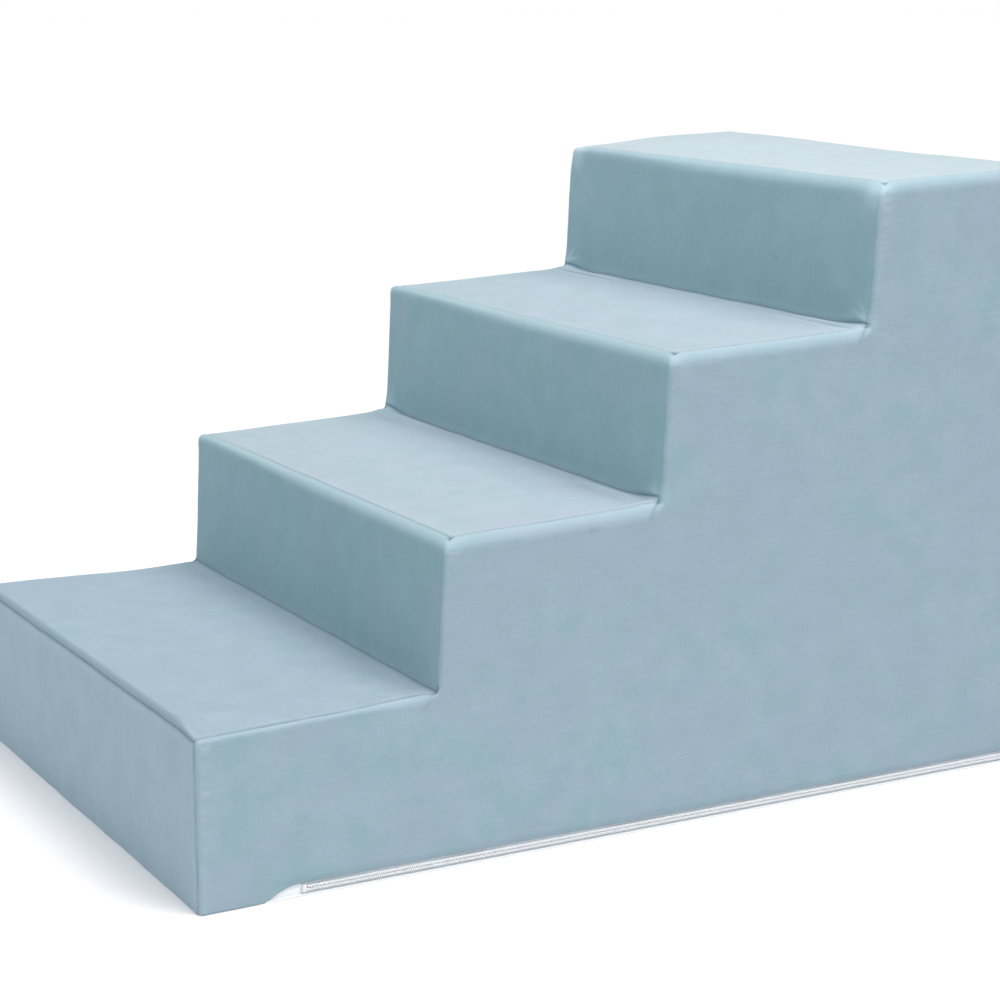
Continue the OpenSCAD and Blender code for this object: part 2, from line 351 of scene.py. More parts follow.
@dataclass
class Outline:
    """Side outline from the floor at the front, over the steps, to the floor at the back.

    A place on it is its distance s from the start. The outline is kept as a fine table, and
    round corners are arcs in it.
    """

    sizes: StairSizes
    spacing: float = 0.25 * MM
    closing: float = 10 * MM
    no_step: float = 1e-7
    least_arc: int = 8
    front_opens: tuple[float, float] = (0.55, 0.93)
    front_share: float = 0.55
    front_seam_drop: float = 3 * MM
    nose_seam_inset: float = 1 * MM
    back_seam_drop: float = 2 * MM

    def __post_init__(self) -> None:
        """Traces the corners of the stairs with their radii."""
        sizes = self.sizes
        self.noses: dict[int, tuple[float, float]] = {}
        self.feet: dict[int, tuple[float, float]] = {}
        corners, radii, names = [sizes.foot(1)], [0.0], [("start", 0)]
        for k in range(1, sizes.steps + 1):
            if k > 1:
                corners.append(sizes.foot(k))
                radii.append(sizes.foot_r)
                names.append(("foot", k))
            corners.append(sizes.nose(k))
            radii.append(sizes.nose_r[k - 1])
            names.append(("nose", k))
        corners += [(sizes.back, sizes.tread_z(sizes.steps)), (sizes.back, 0.0)]
        radii += [sizes.back_r, 0.0]
        names += [("back", 0), ("end", 0)]
        self._trace([np.array(c) for c in corners], radii, names)

    def _trace(self, corners: list[Array], radii: list[float], names: list[tuple[str, int]]) -> None:
        """Fills the table of places and outward normals.

        Args:
            corners: Sharp corners, Y and Z each.
            radii: Radius of each corner.
            names: Kind and step of each corner.
        """
        self._rows: list[Array] = []
        self._length = 0.0
        at = corners[0]
        turns = zip(corners, corners[1:], corners[2:], radii[1:], names[1:])
        for before, p, after, r, (kind, k) in turns:
            into, out = self._unit(p - before), self._unit(after - p)
            turn = into[0] * out[1] - into[1] * out[0]
            angle = math.acos(float(np.clip(into @ out, -1.0, 1.0)))
            reach = r * math.tan(angle / 2)
            side = -1.0 if turn < 0 else 1.0
            start = p - into * reach
            self._add_line(at, start)
            begin = self._length
            self._add_arc(start, self._left(into), r, side, angle)
            marks = (begin, self._length)
            if kind == "nose":
                self.noses[k] = marks
            elif kind == "foot":
                self.feet[k] = marks
            else:
                self.back_corner = marks
            at = p + out * reach
        self._add_line(at, corners[-1])
        self.table = np.array(self._rows)
        self.total = float(self.table[-1, 0])

    @staticmethod
    def _unit(v: Array) -> Array:
        """Vector of length one."""
        return v / np.linalg.norm(v)

    @staticmethod
    def _left(v: Array) -> Array:
        """Vector turned a quarter to the left, which is outwards on this outline."""
        return np.array([-v[1], v[0]])

    def _add_line(self, a: Array, b: Array) -> None:
        """Adds a straight stretch to the table.

        Args:
            a: Start, Y and Z.
            b: End, Y and Z.
        """
        length = float(np.linalg.norm(b - a))
        normal = self._left(self._unit(b - a))
        count = max(2, round(length / self.spacing))
        for t in np.linspace(0.0, 1.0, count, endpoint=False):
            self._rows.append(np.array([self._length + t * length, *(a + (b - a) * t), *normal]))
        self._length += length
        self._rows.append(np.array([self._length - self.no_step, *b, *normal]))

    def _add_arc(self, start: Array, normal: Array, r: float, side: float, angle: float) -> None:
        """Adds an arc that begins with the given normal and bulges outwards for side -1.

        Args:
            start: First point.
            normal: Outward normal there.
            r: Radius.
            side: -1 where the arc bulges outwards, else 1.
            angle: Angle of the arc.
        """
        middle = start + side * r * normal
        count = max(self.least_arc, round(r * angle / self.spacing))
        for t in np.linspace(0.0, 1.0, count):
            turn = side * angle * t
            c, s = math.cos(turn), math.sin(turn)
            n = np.array([c * normal[0] - s * normal[1], s * normal[0] + c * normal[1]])
            self._rows.append(np.array([self._length + r * angle * t, *(middle - side * r * n), *n]))
        self._length += r * angle

    def at(self, s: Array, depth: Array | float = 0.0) -> tuple[Array, Array]:
        """Places and outward normals on the outline.

        Args:
            s: Distances along the outline.
            depth: How far inside the outline the places lie.

        Returns:
            Y and Z of the places, and Y and Z of the normals, one row each.
        """
        n = self.normal(s)
        y = np.interp(s, self.table[:, 0], self.table[:, 1])
        z = np.interp(s, self.table[:, 0], self.table[:, 2])
        return np.stack([y, z], -1) - np.asarray(depth)[..., None] * n, n

    def normal(self, s: Array) -> Array:
        """Outward normals on the outline, Y and Z in each row."""
        n = np.stack([np.interp(s, self.table[:, 0], self.table[:, c]) for c in (3, 4)], -1)
        return n / np.linalg.norm(n, axis=-1, keepdims=True)

    def foot_middle(self, k: int) -> float:
        """Place of the seam at the foot of riser k."""
        return self.sizes.edge if k == 1 else sum(self.feet[k]) / 2

    def nose_middle(self, k: int) -> float:
        """Middle of the nose of step k."""
        return sum(self.noses[k]) / 2

    def roll(self, s: Array, side: Side = Side.RIGHT) -> Array:
        """Radius with which a side panel rolls over the edge at each place.

        It is drawn tight along the risers and wide along the treads. On the first tread it widens
        late and less, and it closes again just before each inner corner.

        Args:
            s: Places on the outline.
            side: Side of the stairs.

        Returns:
            One radius for each place.
        """
        s = np.asarray(s, float)
        wide = np.zeros_like(s)
        for k in range(1, self.sizes.steps + 1):
            start, end = self.noses[k]
            if k == 1:
                start, end = (end + share * self.sizes.going for share in self.front_opens)
            opened = smooth((s - start) / (end - start)) * (self.front_share if k == 1 else 1.0)
            last = self.back_corner[1] + self.closing
            if k < self.sizes.steps:
                last = self.foot_middle(k + 1)
            wide += opened * smooth((last - s) / self.closing)
        return self.sizes.tight_roll + (self.sizes.wide_roll(side) - self.sizes.tight_roll) * wide

    def nose_seam(self, k: int) -> float:
        """Place of the seam between riser k and tread k: below the first nose, and on the later ones."""
        start, end = self.noses[k]
        return start - self.front_seam_drop if k == 1 else end - self.nose_seam_inset

    def back_top(self) -> float:
        """Middle of the corner between the top tread and the back."""
        return sum(self.back_corner) / 2

    def back_seam(self) -> float:
        """Place of the seam between the top tread and the back panel."""
        return self.back_corner[1] + self.back_seam_drop

    def end(self) -> float:
        """Place of the back panel's lower edge, above the zip."""
        return self.total - self.sizes.zip_top


# Marks that sewing and wear leave on the cover, with the shade and light painted on them


@dataclass(frozen=True)
class Crease:
    """Straight crease, or a ridge where its depth is negative, with the shade and light painted on it."""

    start: Vector
    end: Vector
    depth: float
    width: float
    # Painted shade in the mark, and below it the share with which the mark's depth paints shade in a dip and
    # light on a ridge
    shade: float = 0.0
    painted_shading: float = 1.0

    def reach(self, points: Array) -> Array:
        """Share of the mark's full depth at each point.

        Args:
            points: One row of three coordinates for each point.

        Returns:
            Shares from 0 to 1.
        """
        a, b = np.array(self.start), np.array(self.end)
        edge = 4 * self.width
        near = np.all((points > np.minimum(a, b) - edge) & (points < np.maximum(a, b) + edge), axis=1)
        share = np.zeros(len(points))
        if near.any():
            p, d = points[near], b - a
            t = np.clip((p - a) @ d / (d @ d), 0.0, 1.0)
            off = np.linalg.norm(p - a - t[:, None] * d, axis=1)
            share[near] = bell(off, self.width) * np.sqrt(np.clip(1.08 - (2 * t - 1) ** 2, 0.0, 1.0))
        return share


@dataclass(frozen=True)
class Pit:
    """Round pit, or a puff where its depth is negative, with the shade and light painted on it."""

    middle: Vector
    depth: float
    radius: float
    # Painted shade in the mark, and below it the share with which the mark's depth paints shade in a dip and
    # light on a puff
    shade: float = 0.0
    painted_shading: float = 1.0

    def reach(self, points: Array) -> Array:
        """Share of the mark's full depth at each point."""
        return bell(np.linalg.norm(points - np.array(self.middle), axis=1), self.radius)


@dataclass(frozen=True)
class Fold:
    """Fold of a tread ahead of the foot of a riser, or a ridge where its depth is negative. Its shade is
    painted shade in the fold.
    """

    ahead: float
    depth: float
    width: float
    shade: float = 0.0


@dataclass(frozen=True)
class StepLook:
    """How strongly the cover shows its sewing at one step.

    Attributes:
        foot_lift: How far the foot's seam rises towards the sides.
        pucker_spread: Share of the riser, from its nose down, that has puckers.
        wrinkles: Strength of the side panel's wrinkles at the foot.
        riser_wrinkles: Strength of the riser's wrinkles above the foot.
    """

    nose_shows: float
    foot_shows: float
    foot_lift: float
    puckers: int
    pucker_height: float
    pucker_spread: float = 0.72
    puff_height: float = 0.0
    puff_radius: float = 0.0
    wrinkles: float = 0.0
    riser_wrinkles: float = 0.0
    folds: tuple[Fold, ...] = ()


SeamLine = Callable[[int, Array], Array]
Spot = Callable[[float, float, float], Vector]


@dataclass
class Seams:
    """All seams of the cover as lines in space, with the marks that they leave."""

    outline: Outline
    LOOKS = {
        1: StepLook(
            nose_shows=0.45, foot_shows=0.0, foot_lift=0.0, puckers=20, pucker_height=0.6 * MM,
            pucker_spread=0.95,
        ),
        2: StepLook(
            nose_shows=0.2, foot_shows=0.3, foot_lift=0.0, puckers=4, pucker_height=0.25 * MM,
            puff_height=0.25 * MM, puff_radius=4.5 * MM, wrinkles=0.3, riser_wrinkles=0.2,
            folds=(Fold(6 * MM, -0.3 * MM, 3.0 * MM),),
        ),
        3: StepLook(
            nose_shows=0.06, foot_shows=0.4, foot_lift=4 * MM, puckers=3, pucker_height=0.2 * MM,
            puff_height=0.6 * MM, puff_radius=4.0 * MM, wrinkles=0.4, riser_wrinkles=0.4,
            folds=(
                Fold(4 * MM, -0.8 * MM, 2.2 * MM),
                Fold(10 * MM, -0.4 * MM, 2.5 * MM),
                Fold(12 * MM, 0.3 * MM, 1.4 * MM, shade=0.05),
            ),
        ),
        4: StepLook(
            nose_shows=0.05, foot_shows=0.4, foot_lift=2.5 * MM, puckers=12, pucker_height=0.55 * MM,
            puff_height=0.35 * MM, puff_radius=4.5 * MM, wrinkles=0.9, riser_wrinkles=1.0,
            folds=(
                Fold(3 * MM, -0.9 * MM, 1.9 * MM),
                Fold(8 * MM, 0.6 * MM, 2.2 * MM, shade=0.1),
                Fold(13 * MM, -0.6 * MM, 3.0 * MM),
            ),
        ),
    }
    groove: float = 1.5 * MM
    groove_w: float = 1.1 * MM
    welt: float = 0.35 * MM
    shade_w: float = 0.9 * MM
    deepest: float = 2.3 * MM
    welt_off: float = 3.2 * MM
    welt_w: float = 1.8 * MM
    plain_share: float = 0.06
    back_shows: float = 0.45
    front_shows: float = 0.4
    riser_shows: float = 0.0
    tread_shows: float = 0.5
    far_fade: float = 120 * MM
    lift_spread: float = 22 * MM
    front_corner_rise: float = 4 * MM
    far_tuck: float = 0.35
    front_waves: tuple[Wave, ...] = (Wave(0.55 * MM, 24 * MM, 10), Wave(0.275 * MM, 8 * MM, 20))
    nose_waves: tuple[Wave, ...] = (Wave(0.4 * MM, 24 * MM, 10), Wave(0.2 * MM, 8 * MM, 20))
    foot_wave: Wave = Wave(0.5 * MM, 30 * MM, 30)
    back_wave: Wave = Wave(0.4 * MM, 26 * MM, 40)
    side_waves: tuple[Wave, ...] = (Wave(0.65 * MM, 28 * MM, 50), Wave(0.35 * MM, 10 * MM, 60))
    strength_wave: Wave = Wave(1.1, 26 * MM, 70)
    usual_share: float = 0.75
    least_share: float = 0.15
    short_puckers: int = 7
    nose_wrinkles: int = 3
    zip_groove: float = 1.1 * MM
    zip_groove_w: float = 2.6 * MM
    zip_from: float = 38 * MM
    zip_fade: float = 20 * MM
    table_step: float = 0.4 * MM
    side_step: float = 0.6 * MM
    across_points: int = 900

    def __post_init__(self) -> None:
        """Places every seam of the cover."""
        self.sizes = self.outline.sizes
        self._places = np.arange(0.0, self.outline.total, self.table_step)
        self._edges = {side: self._edge(self._places, side) for side in Side}
        self._lines: list[Array] = []
        self._shows: list[Array] = []
        for side in Side:
            self._add(self.side_line(side), self._side_strength())
        for k, look in self.LOOKS.items():
            line = self._across(self.nose_line, k)
            near = smooth((line[:, 0] + self.sizes.half) / self.far_fade)
            self._add(line, look.nose_shows * (near if k > 1 else 1.0))
            if k > 1:
                self._add(self._across(self.foot_line, k), look.foot_shows)
        self._add(self._across(self.back_line, 0), self.back_shows)
        self.tree = search_tree(np.concatenate(self._lines))
        self.shows = np.concatenate(self._shows)
        self.marks: list[Crease | Pit] = []
        for side in Side:
            self._mark_side(side)

    def _add(self, line: Array, shows: Array | float) -> None:
        """Keeps the points of a seam with how clearly it shows at each of them."""
        self._lines.append(line)
        self._shows.append(shows * np.ones(len(line)))

    def nose_line(self, k: int, x: Array) -> Array:
        """Places of the nose seam of step k for places across the stairs, a little wavy.

        Args:
            k: Number of the step.
            x: Distances to the right of the middle.

        Returns:
            Places on the outline.
        """
        waves = self.front_waves if k == 1 else self.nose_waves
        bend = sum(wave.along(x, k) for wave in waves)
        if k == 1:
            bend = bend + self.front_corner_rise * (1 - self.sizes.off_near_side(x))
        return self.outline.nose_seam(k) + bend

    def foot_line(self, k: int, x: Array) -> Array:
        """Places of the seam at the foot of riser k, which rises towards the sides.

        Args:
            k: Number of the step.
            x: Distances to the right of the middle.

        Returns:
            Places on the outline.
        """
        if k == 1:
            return np.full_like(x, self.outline.foot_middle(1))
        rise = self.LOOKS[k].foot_lift * bell(self.sizes.half - np.abs(x), self.lift_spread)
        return self.outline.foot_middle(k) + self.foot_wave.along(x, k) + rise

    def back_line(self, _: int, x: Array) -> Array:
        """Places of the seam between the top tread and the back panel."""
        return self.outline.back_seam() + self.back_wave.along(x)

    def side_x(self, s: Array, side: Side) -> Array:
        """Distance of a side seam from the middle of the stairs."""
        return np.interp(s, self._places, self._edges[side])

    def _edge(self, s: Array, side: Side) -> Array:
        """Distance of a side seam from the middle of the stairs, a little wavy, at each place."""
        bend = sum(wave.along(s, side.value) for wave in self.side_waves)
        return self.sizes.half - self.outline.roll(s, side) + bend

    def _side_places(self) -> Array:
        """Places along a side seam."""
        return np.arange(self.sizes.edge, self.outline.end(), self.side_step)

    def _side_strength(self) -> Array:
        """How clearly a side seam shows at each of its places.

        Returns:
            Strengths from 0 to 1.
        """
        s, line = self._side_places(), self.outline
        shows = np.full(len(s), self.tread_shows)
        shows[s < line.noses[1][0]] = self.front_shows
        for k in range(2, self.sizes.steps + 1):
            shows[(s > line.feet[k][1]) & (s < line.noses[k][1])] = self.riser_shows
        return shows * np.clip(self.usual_share + self.strength_wave.along(s), self.least_share, 1.0)

    def side_line(self, side: Side) -> Array:
        """Points of a side seam."""
        s = self._side_places()
        return np.column_stack([side.value * self.side_x(s, side), self.outline.at(s)[0]])

    def _across(self, line: SeamLine, k: int) -> Array:
        """Points of a seam that runs across the stairs.

        Args:
            line: Gives the seam's places on the outline.
            k: Number of the step.

        Returns:
            One row of three coordinates for each point.
        """
        x = np.linspace(-1.0, 1.0, self.across_points) * (self.sizes.half - self.sizes.tight_roll)
        s = line(k, x)
        roll = np.where(x > 0, self.outline.roll(s), self.outline.roll(s, Side.LEFT))
        inside = np.abs(x) <= self.sizes.half - roll
        place, _ = self.outline.at(s[inside])
        return np.column_stack([x[inside], place])

    def _mark_side(self, side: Side) -> None:
        """Adds the puckers, notches and folds beside one side seam.

        Args:
            side: Side of the stairs.
        """
        rng = random.Random(4 + side.value)

        def spot(s: float, depth: float, x: float) -> Vector:
            """Point at a place on the outline, a depth inside it and a distance from the middle."""
            place, _ = self.outline.at(np.array([s]), np.array([depth]))
            return Vector((side.value * x, *place[0]))

        for k in self.LOOKS:
            self._mark_riser(k, rng, spot)
        for k in range(2, self.sizes.steps + 1):
            self._mark_tread(k, rng, spot)
        for k in range(2, self.sizes.steps + 1):
            self._mark_nose_corner(k, rng, spot, side)
            self._mark_foot_corner(k, rng, spot, side)

    def _mark_riser(self, k: int, rng: random.Random, spot: Spot) -> None:
        """Puckers beside an upright seam, strongest near the nose.

        Args:
            k: Number of the step.
            rng: Source of the random draws.
            spot: Gives the point for a place, a depth and a distance to the side.
        """
        look, face = self.LOOKS[k], self.sizes.half
        low, high = self.outline.foot_middle(k), self.outline.noses[k][0]
        for i in range(look.puckers):
            t = 1 - (i + rng.uniform(0.15, 0.85)) / look.puckers * look.pucker_spread
            s = low + (high - low) * t
            height = look.pucker_height * (0.4 + 0.6 * t**2) * rng.uniform(0.5, 1.1)
            start, length = rng.uniform(1.5, 2.5) * MM, rng.uniform(3, 7) * MM
            a, b = spot(s, start, face), spot(s + rng.uniform(-0.6, 0.6) * MM, start + length, face)
            self.marks.append(Crease(a, b, -height, rng.uniform(0.7, 1.0) * MM))

    def _mark_tread(self, k: int, rng: random.Random, spot: Spot) -> None:
        """Short puckers under the rolled edge of a tread.

        Args:
            k: Number of the step.
            rng: Source of the random draws.
            spot: Gives the point for a place, a depth and a distance to the side.
        """
        face = self.sizes.half
        for _ in range(self.short_puckers):
            s = self.outline.noses[k][1] + rng.uniform(4, 90) * MM
            start = rng.uniform(6.5, 9.5) * MM
            a = spot(s, start, face)
            b = spot(s + rng.uniform(3, 9) * MM, start + rng.uniform(-1, 2) * MM, face)
            self.marks.append(Crease(a, b, rng.uniform(-0.3, 0.3) * MM, rng.uniform(1, 1.6) * MM))

    def _mark_nose_corner(self, k: int, rng: random.Random, spot: Spot, side: Side) -> None:
        """Tuck where the nose seam meets a side seam, with its creases and puffs.

        Args:
            k: Number of the step.
            rng: Source of the random draws.
            spot: Gives the point for a place, a depth and a distance to the side.
            side: Side of the stairs.
        """
        line, half, look = self.outline, self.sizes.half, self.LOOKS[k]
        roll = self.sizes.wide_roll(side)
        s = line.nose_seam(k)
        tuck = 1.0 if side is Side.RIGHT else self.far_tuck
        corner = spot(s, 0.6 * MM, half - roll)
        over = spot(s - 3 * MM, 1.2 * MM, half - roll + 3.2 * MM)
        puff = spot(s - 7 * MM, 2.5 * MM, half - 3.5 * MM)
        # The tuck and its crease get painted shade
        self.marks += [
            Pit(corner, 1.5 * tuck * MM, 1.8 * MM, shade=0.55),
            Crease(corner, over, 2.2 * tuck * MM, 1.0 * MM, shade=0.85),
            Pit(puff, -look.puff_height, look.puff_radius),
        ]
        if k == 3:
            inward = spot(s - 1 * MM, 0.8 * MM, half - roll - 4 * MM)
            self.marks.append(Crease(corner, inward, 1.4 * MM, 0.9 * MM, shade=0.6))
        if k == 4:
            # The slump is a pit that paints light, not shade, where the nose corner sags
            slump = spot(line.noses[k][0] + 6 * MM, 0.0, half - 8 * MM)
            down = spot(s - 8 * MM, 1.0 * MM, half - roll)
            below = spot(s - 10 * MM, 2.0 * MM, half - 2.5 * MM)
            self.marks += [
                Pit(slump, 2.0 * MM, 10 * MM, painted_shading=-0.5),
                Crease(corner, down, 2.0 * MM, 0.8 * MM, shade=0.6),
                Crease(over, below, 1.1 * MM, 0.8 * MM, shade=0.55),
            ]
        for _ in range(self.nose_wrinkles):
            a = spot(s - rng.uniform(8, 14) * MM, rng.uniform(1, 3) * MM, half - rng.uniform(0, 1) * MM)
            b = spot(s - rng.uniform(8, 14) * MM, rng.uniform(8, 13) * MM, half)
            self.marks.append(Crease(a, b, rng.uniform(-0.35, 0.2) * MM, 0.9 * MM))

    def _mark_foot_corner(self, k: int, rng: random.Random, spot: Spot, side: Side) -> None:
        """Diagonal crease at the foot of a riser, with wrinkles that spread from it.

        Args:
            k: Number of the step.
            rng: Source of the random draws.
            spot: Gives the point for a place, a depth and a distance to the side.
            side: Side of the stairs.
        """
        half, look, out = self.sizes.half, self.LOOKS[k], side.value
        s = self.outline.foot_middle(k)
        y, z = self.sizes.foot(k)
        corner = spot(s, 0.5 * MM, half - 3 * MM)
        edge = Vector((out * (half - 1.5 * MM), y - 6 * MM, z - 3 * MM))
        low = Vector((out * half, y - 9 * MM, z - 9 * MM))
        # The puff paints light on the tread beside the foot
        if k > 2:
            puff = Vector((out * (half - 5 * MM), y - 3 * MM, z + 1 * MM))
            self.marks.append(Pit(puff, -1.5 * MM, 9 * MM, painted_shading=0.35))
        # Painted shade in the corner and in its creases
        self.marks += [
            Pit(corner, 0.7 * MM, 2.2 * MM, shade=0.25),
            Crease(corner, edge, 1.0 * MM, 0.9 * MM, shade=0.4),
            Crease(edge, low, 0.5 * MM, 1.0 * MM, shade=0.1),
        ]
        strength = look.wrinkles
        for dy, dz in ((25, -13), (30, -4)):
            a = Vector((out * half, y + 4 * MM, z - 3 * MM))
            b = a + Vector((0.0, (dy + rng.uniform(-3, 3)) * MM, (dz + rng.uniform(-2, 2)) * MM))
            self.marks.append(Crease(a, b, -0.4 * strength * rng.uniform(0.6, 1.1) * MM, 1.3 * MM))
            strength *= 0.6
        for fold in look.folds:
            near = half - self.sizes.wide_roll(side) * 0.5 - fold.ahead * 0.45
            a = spot(s - fold.ahead, 0.0, near)
            b = spot(s - (fold.ahead + rng.uniform(-1, 2) * MM), 0.0, half - rng.uniform(60, 95) * MM)
            self.marks.append(Crease(a, b, fold.depth, fold.width, shade=fold.shade))
        for up, aside in ((16, 10), (9, 16)):
            a = spot(s + 4 * MM, 0.0, half - 5 * MM)
            b = spot(s + up * MM, 0.0, half - (5 + aside) * MM)
            self.marks.append(Crease(a, b, -0.5 * look.riser_wrinkles * MM, 1.4 * MM))

    def nearest(self, points: Array) -> tuple[Array, Array]:
        """Distance of each point from the nearest seam, and how clearly that seam shows."""
        found = [self.tree.find(p) for p in points]
        return np.array([f[2] for f in found]), self.shows[[f[1] for f in found]]

    def dips(self, points: Array) -> tuple[Array, Array, Array]:
        """Depth of all marks, and the shade and light that they paint on the pile.

        Args:
            points: Points on the plain cover.

        Returns:
            How far each point lies below the plain cover, a mask of painted shade that is 1 in a seam, and
            the folds, which are above 0 where shade is painted on the pile and below 0 where light is painted
            on it.
        """
        off, shows = self.nearest(points)
        deep = self.plain_share + (1 - self.plain_share) * shows
        welt = self.welt * bell(off - self.welt_off, self.welt_w)
        dip = deep * (self.groove * bell(off, self.groove_w) - welt)
        # Painted shade in the seams; the folds paint shade where the cover dips and light where it rises
        shade = shows * bell(off, self.shade_w)
        fold = dip - self.groove * shade
        zipped = smooth((points[:, 1] - self.sizes.front - self.zip_from) / self.zip_fade)
        above = np.maximum(points[:, 2] - self.sizes.zip_top, 0.0)
        dip += self.zip_groove * zipped * bell(above, self.zip_groove_w)
        for mark in self.marks:
            share = mark.reach(points)
            dip += mark.depth * share
            # Each mark paints shade in its dip and light on its ridge, and its own shade in the mark
            fold += mark.depth * share * mark.painted_shading
            if mark.shade:
                shade = np.maximum(shade, mark.shade * share)
        dip = np.where(dip > 0, self.deepest * np.tanh(dip / self.deepest), dip)
        return dip, shade, np.clip(fold / MM, -1.0, 1.0)


@dataclass
class CoverDrape:
    """Cloth simulation of the whole cover, pressed out by the foam and held at its seams.

    It runs on a coarse closed copy, and the fine panels take their soft bulge from it.
    """

    seams: Seams
    voxel: float = 7.5 * MM
    start_depth: float = 1.0 * MM
    pressure: float = 4.0
    frames: int = 20
    cap: float = 1.2 * MM
    held_within: float = 7 * MM
    spacing: float = 12 * MM
    arc_points: int = 5
    quality: int = 4
    shrink: float = -0.01
    typical_most: float = 98
    neighbours: int = 6

    def __post_init__(self) -> None:
        """Runs the simulation."""
        self.outline = self.seams.outline
        self.sizes = self.seams.sizes
        self.tree: KDTree | None = None
        self._run()

    def _body(self) -> Object:
        """Closed stair body, remeshed to even faces.

        Returns:
            The body.
        """
        sizes = self.sizes
        bm = bmesh.new()
        line = self.outline
        arcs = [*line.noses.values(), *line.feet.values(), line.back_corner]
        turns = [np.linspace(begin, end, self.arc_points) for begin, end in arcs]
        s = np.unique(np.concatenate([np.arange(0.0, line.total, self.spacing), [line.total], *turns]))
        places, _ = line.at(s, np.full(len(s), self.start_depth))
        places[:, 1] = np.maximum(places[:, 1], sizes.base)
        x = sizes.half - self.start_depth
        face = bm.faces.new([bm.verts.new((-x, y, z)) for y, z in places])
        swept = bmesh.ops.extrude_face_region(bm, geom=[face])["geom"]
        moved = [g for g in swept if isinstance(g, bmesh.types.BMVert)]
        bmesh.ops.translate(bm, verts=moved, vec=(2 * x, 0, 0))
        bmesh.ops.recalc_face_normals(bm, faces=bm.faces)
        body = to_object(bm, "drape_body")
        remesh = body.modifiers.new("Even", "REMESH")
        remesh.mode = "VOXEL"
        remesh.voxel_size = self.voxel
        done = body.evaluated_get(bpy.context.evaluated_depsgraph_get())
        mesh = bpy.data.meshes.new_from_object(done)
        body.modifiers.clear()
        body.data = mesh
        return body

    def _run(self) -> None:
        """Simulates the cloth and keeps how far each point moved."""
        body = self._body()
        rest = points_of(body.data)
        held = body.vertex_groups.new(name="held")
        off, _ = self.seams.nearest(rest)
        near = (off < self.held_within) | (rest[:, 2] < self.sizes.zip_top + self.held_within)
        held.add([int(i) for i in np.flatnonzero(near)], 1.0, "REPLACE")
        cloth = body.modifiers.new("Cloth", "CLOTH")
        cloth.settings.quality = self.quality
        cloth.settings.vertex_group_mass = held.name
        cloth.settings.use_pressure = True
        cloth.settings.uniform_pressure_force = self.pressure
        cloth.settings.effector_weights.gravity = 0.0
        cloth.settings.shrink_min = self.shrink
        cloth.collision_settings.use_collision = False
        cloth.point_cache.frame_end = self.frames
        scene = bpy.context.scene
        for number in range(1, self.frames + 1):
            scene.frame_set(number)
        done = body.evaluated_get(bpy.context.evaluated_depsgraph_get())
        moved = points_of(done.data) - rest
        scene.frame_set(1)
        most = float(np.percentile(np.linalg.norm(moved, axis=1), self.typical_most))
        moved *= min(1.0, self.cap / most)
        log.info("cloth moved by %.1f mm, kept to %.1f mm", 1000 * most, 1000 * self.cap)
        self.tree = search_tree(rest)
        self.moved = moved
        bpy.data.objects.remove(body)

    def shift(self, points: Array, normals: Array) -> Array:
        """How far each point of the plain cover is pressed out along its normal.

        Args:
            points: Points on the plain cover, one row each.
            normals: Outward normals at these points.

        Returns:
            One distance for each point.
        """
        if self.tree is None:
            return np.zeros(len(points))
        shifts = np.empty(len(points))
        for i, (p, n) in enumerate(zip(points, normals)):
            near = self.tree.find_n(p, self.neighbours)
            weights = [math.exp(-((d / self.voxel) ** 2)) for _, _, d in near]
            total = sum(w * (self.moved[j] @ n) for w, (_, j, _) in zip(weights, near))
            shifts[i] = total / max(sum(weights), 1e-9)
        return shifts


# Finishes

Triple = tuple[float, float, float]
Colour = Triple
Value = NodeSocket | Colour | float


def linear(value: int) -> float:
    """Linear strength of a channel from the 0 to 255 value that a screen shows."""
    c = value / 255
    return c / 12.92 if c <= 0.04045 else ((c + 0.055) / 1.055) ** 2.4


def srgb(red: int, green: int, blue: int) -> Colour:
    """Linear colour from the 0 to 255 values that a screen shows."""
    return linear(red), linear(green), linear(blue)


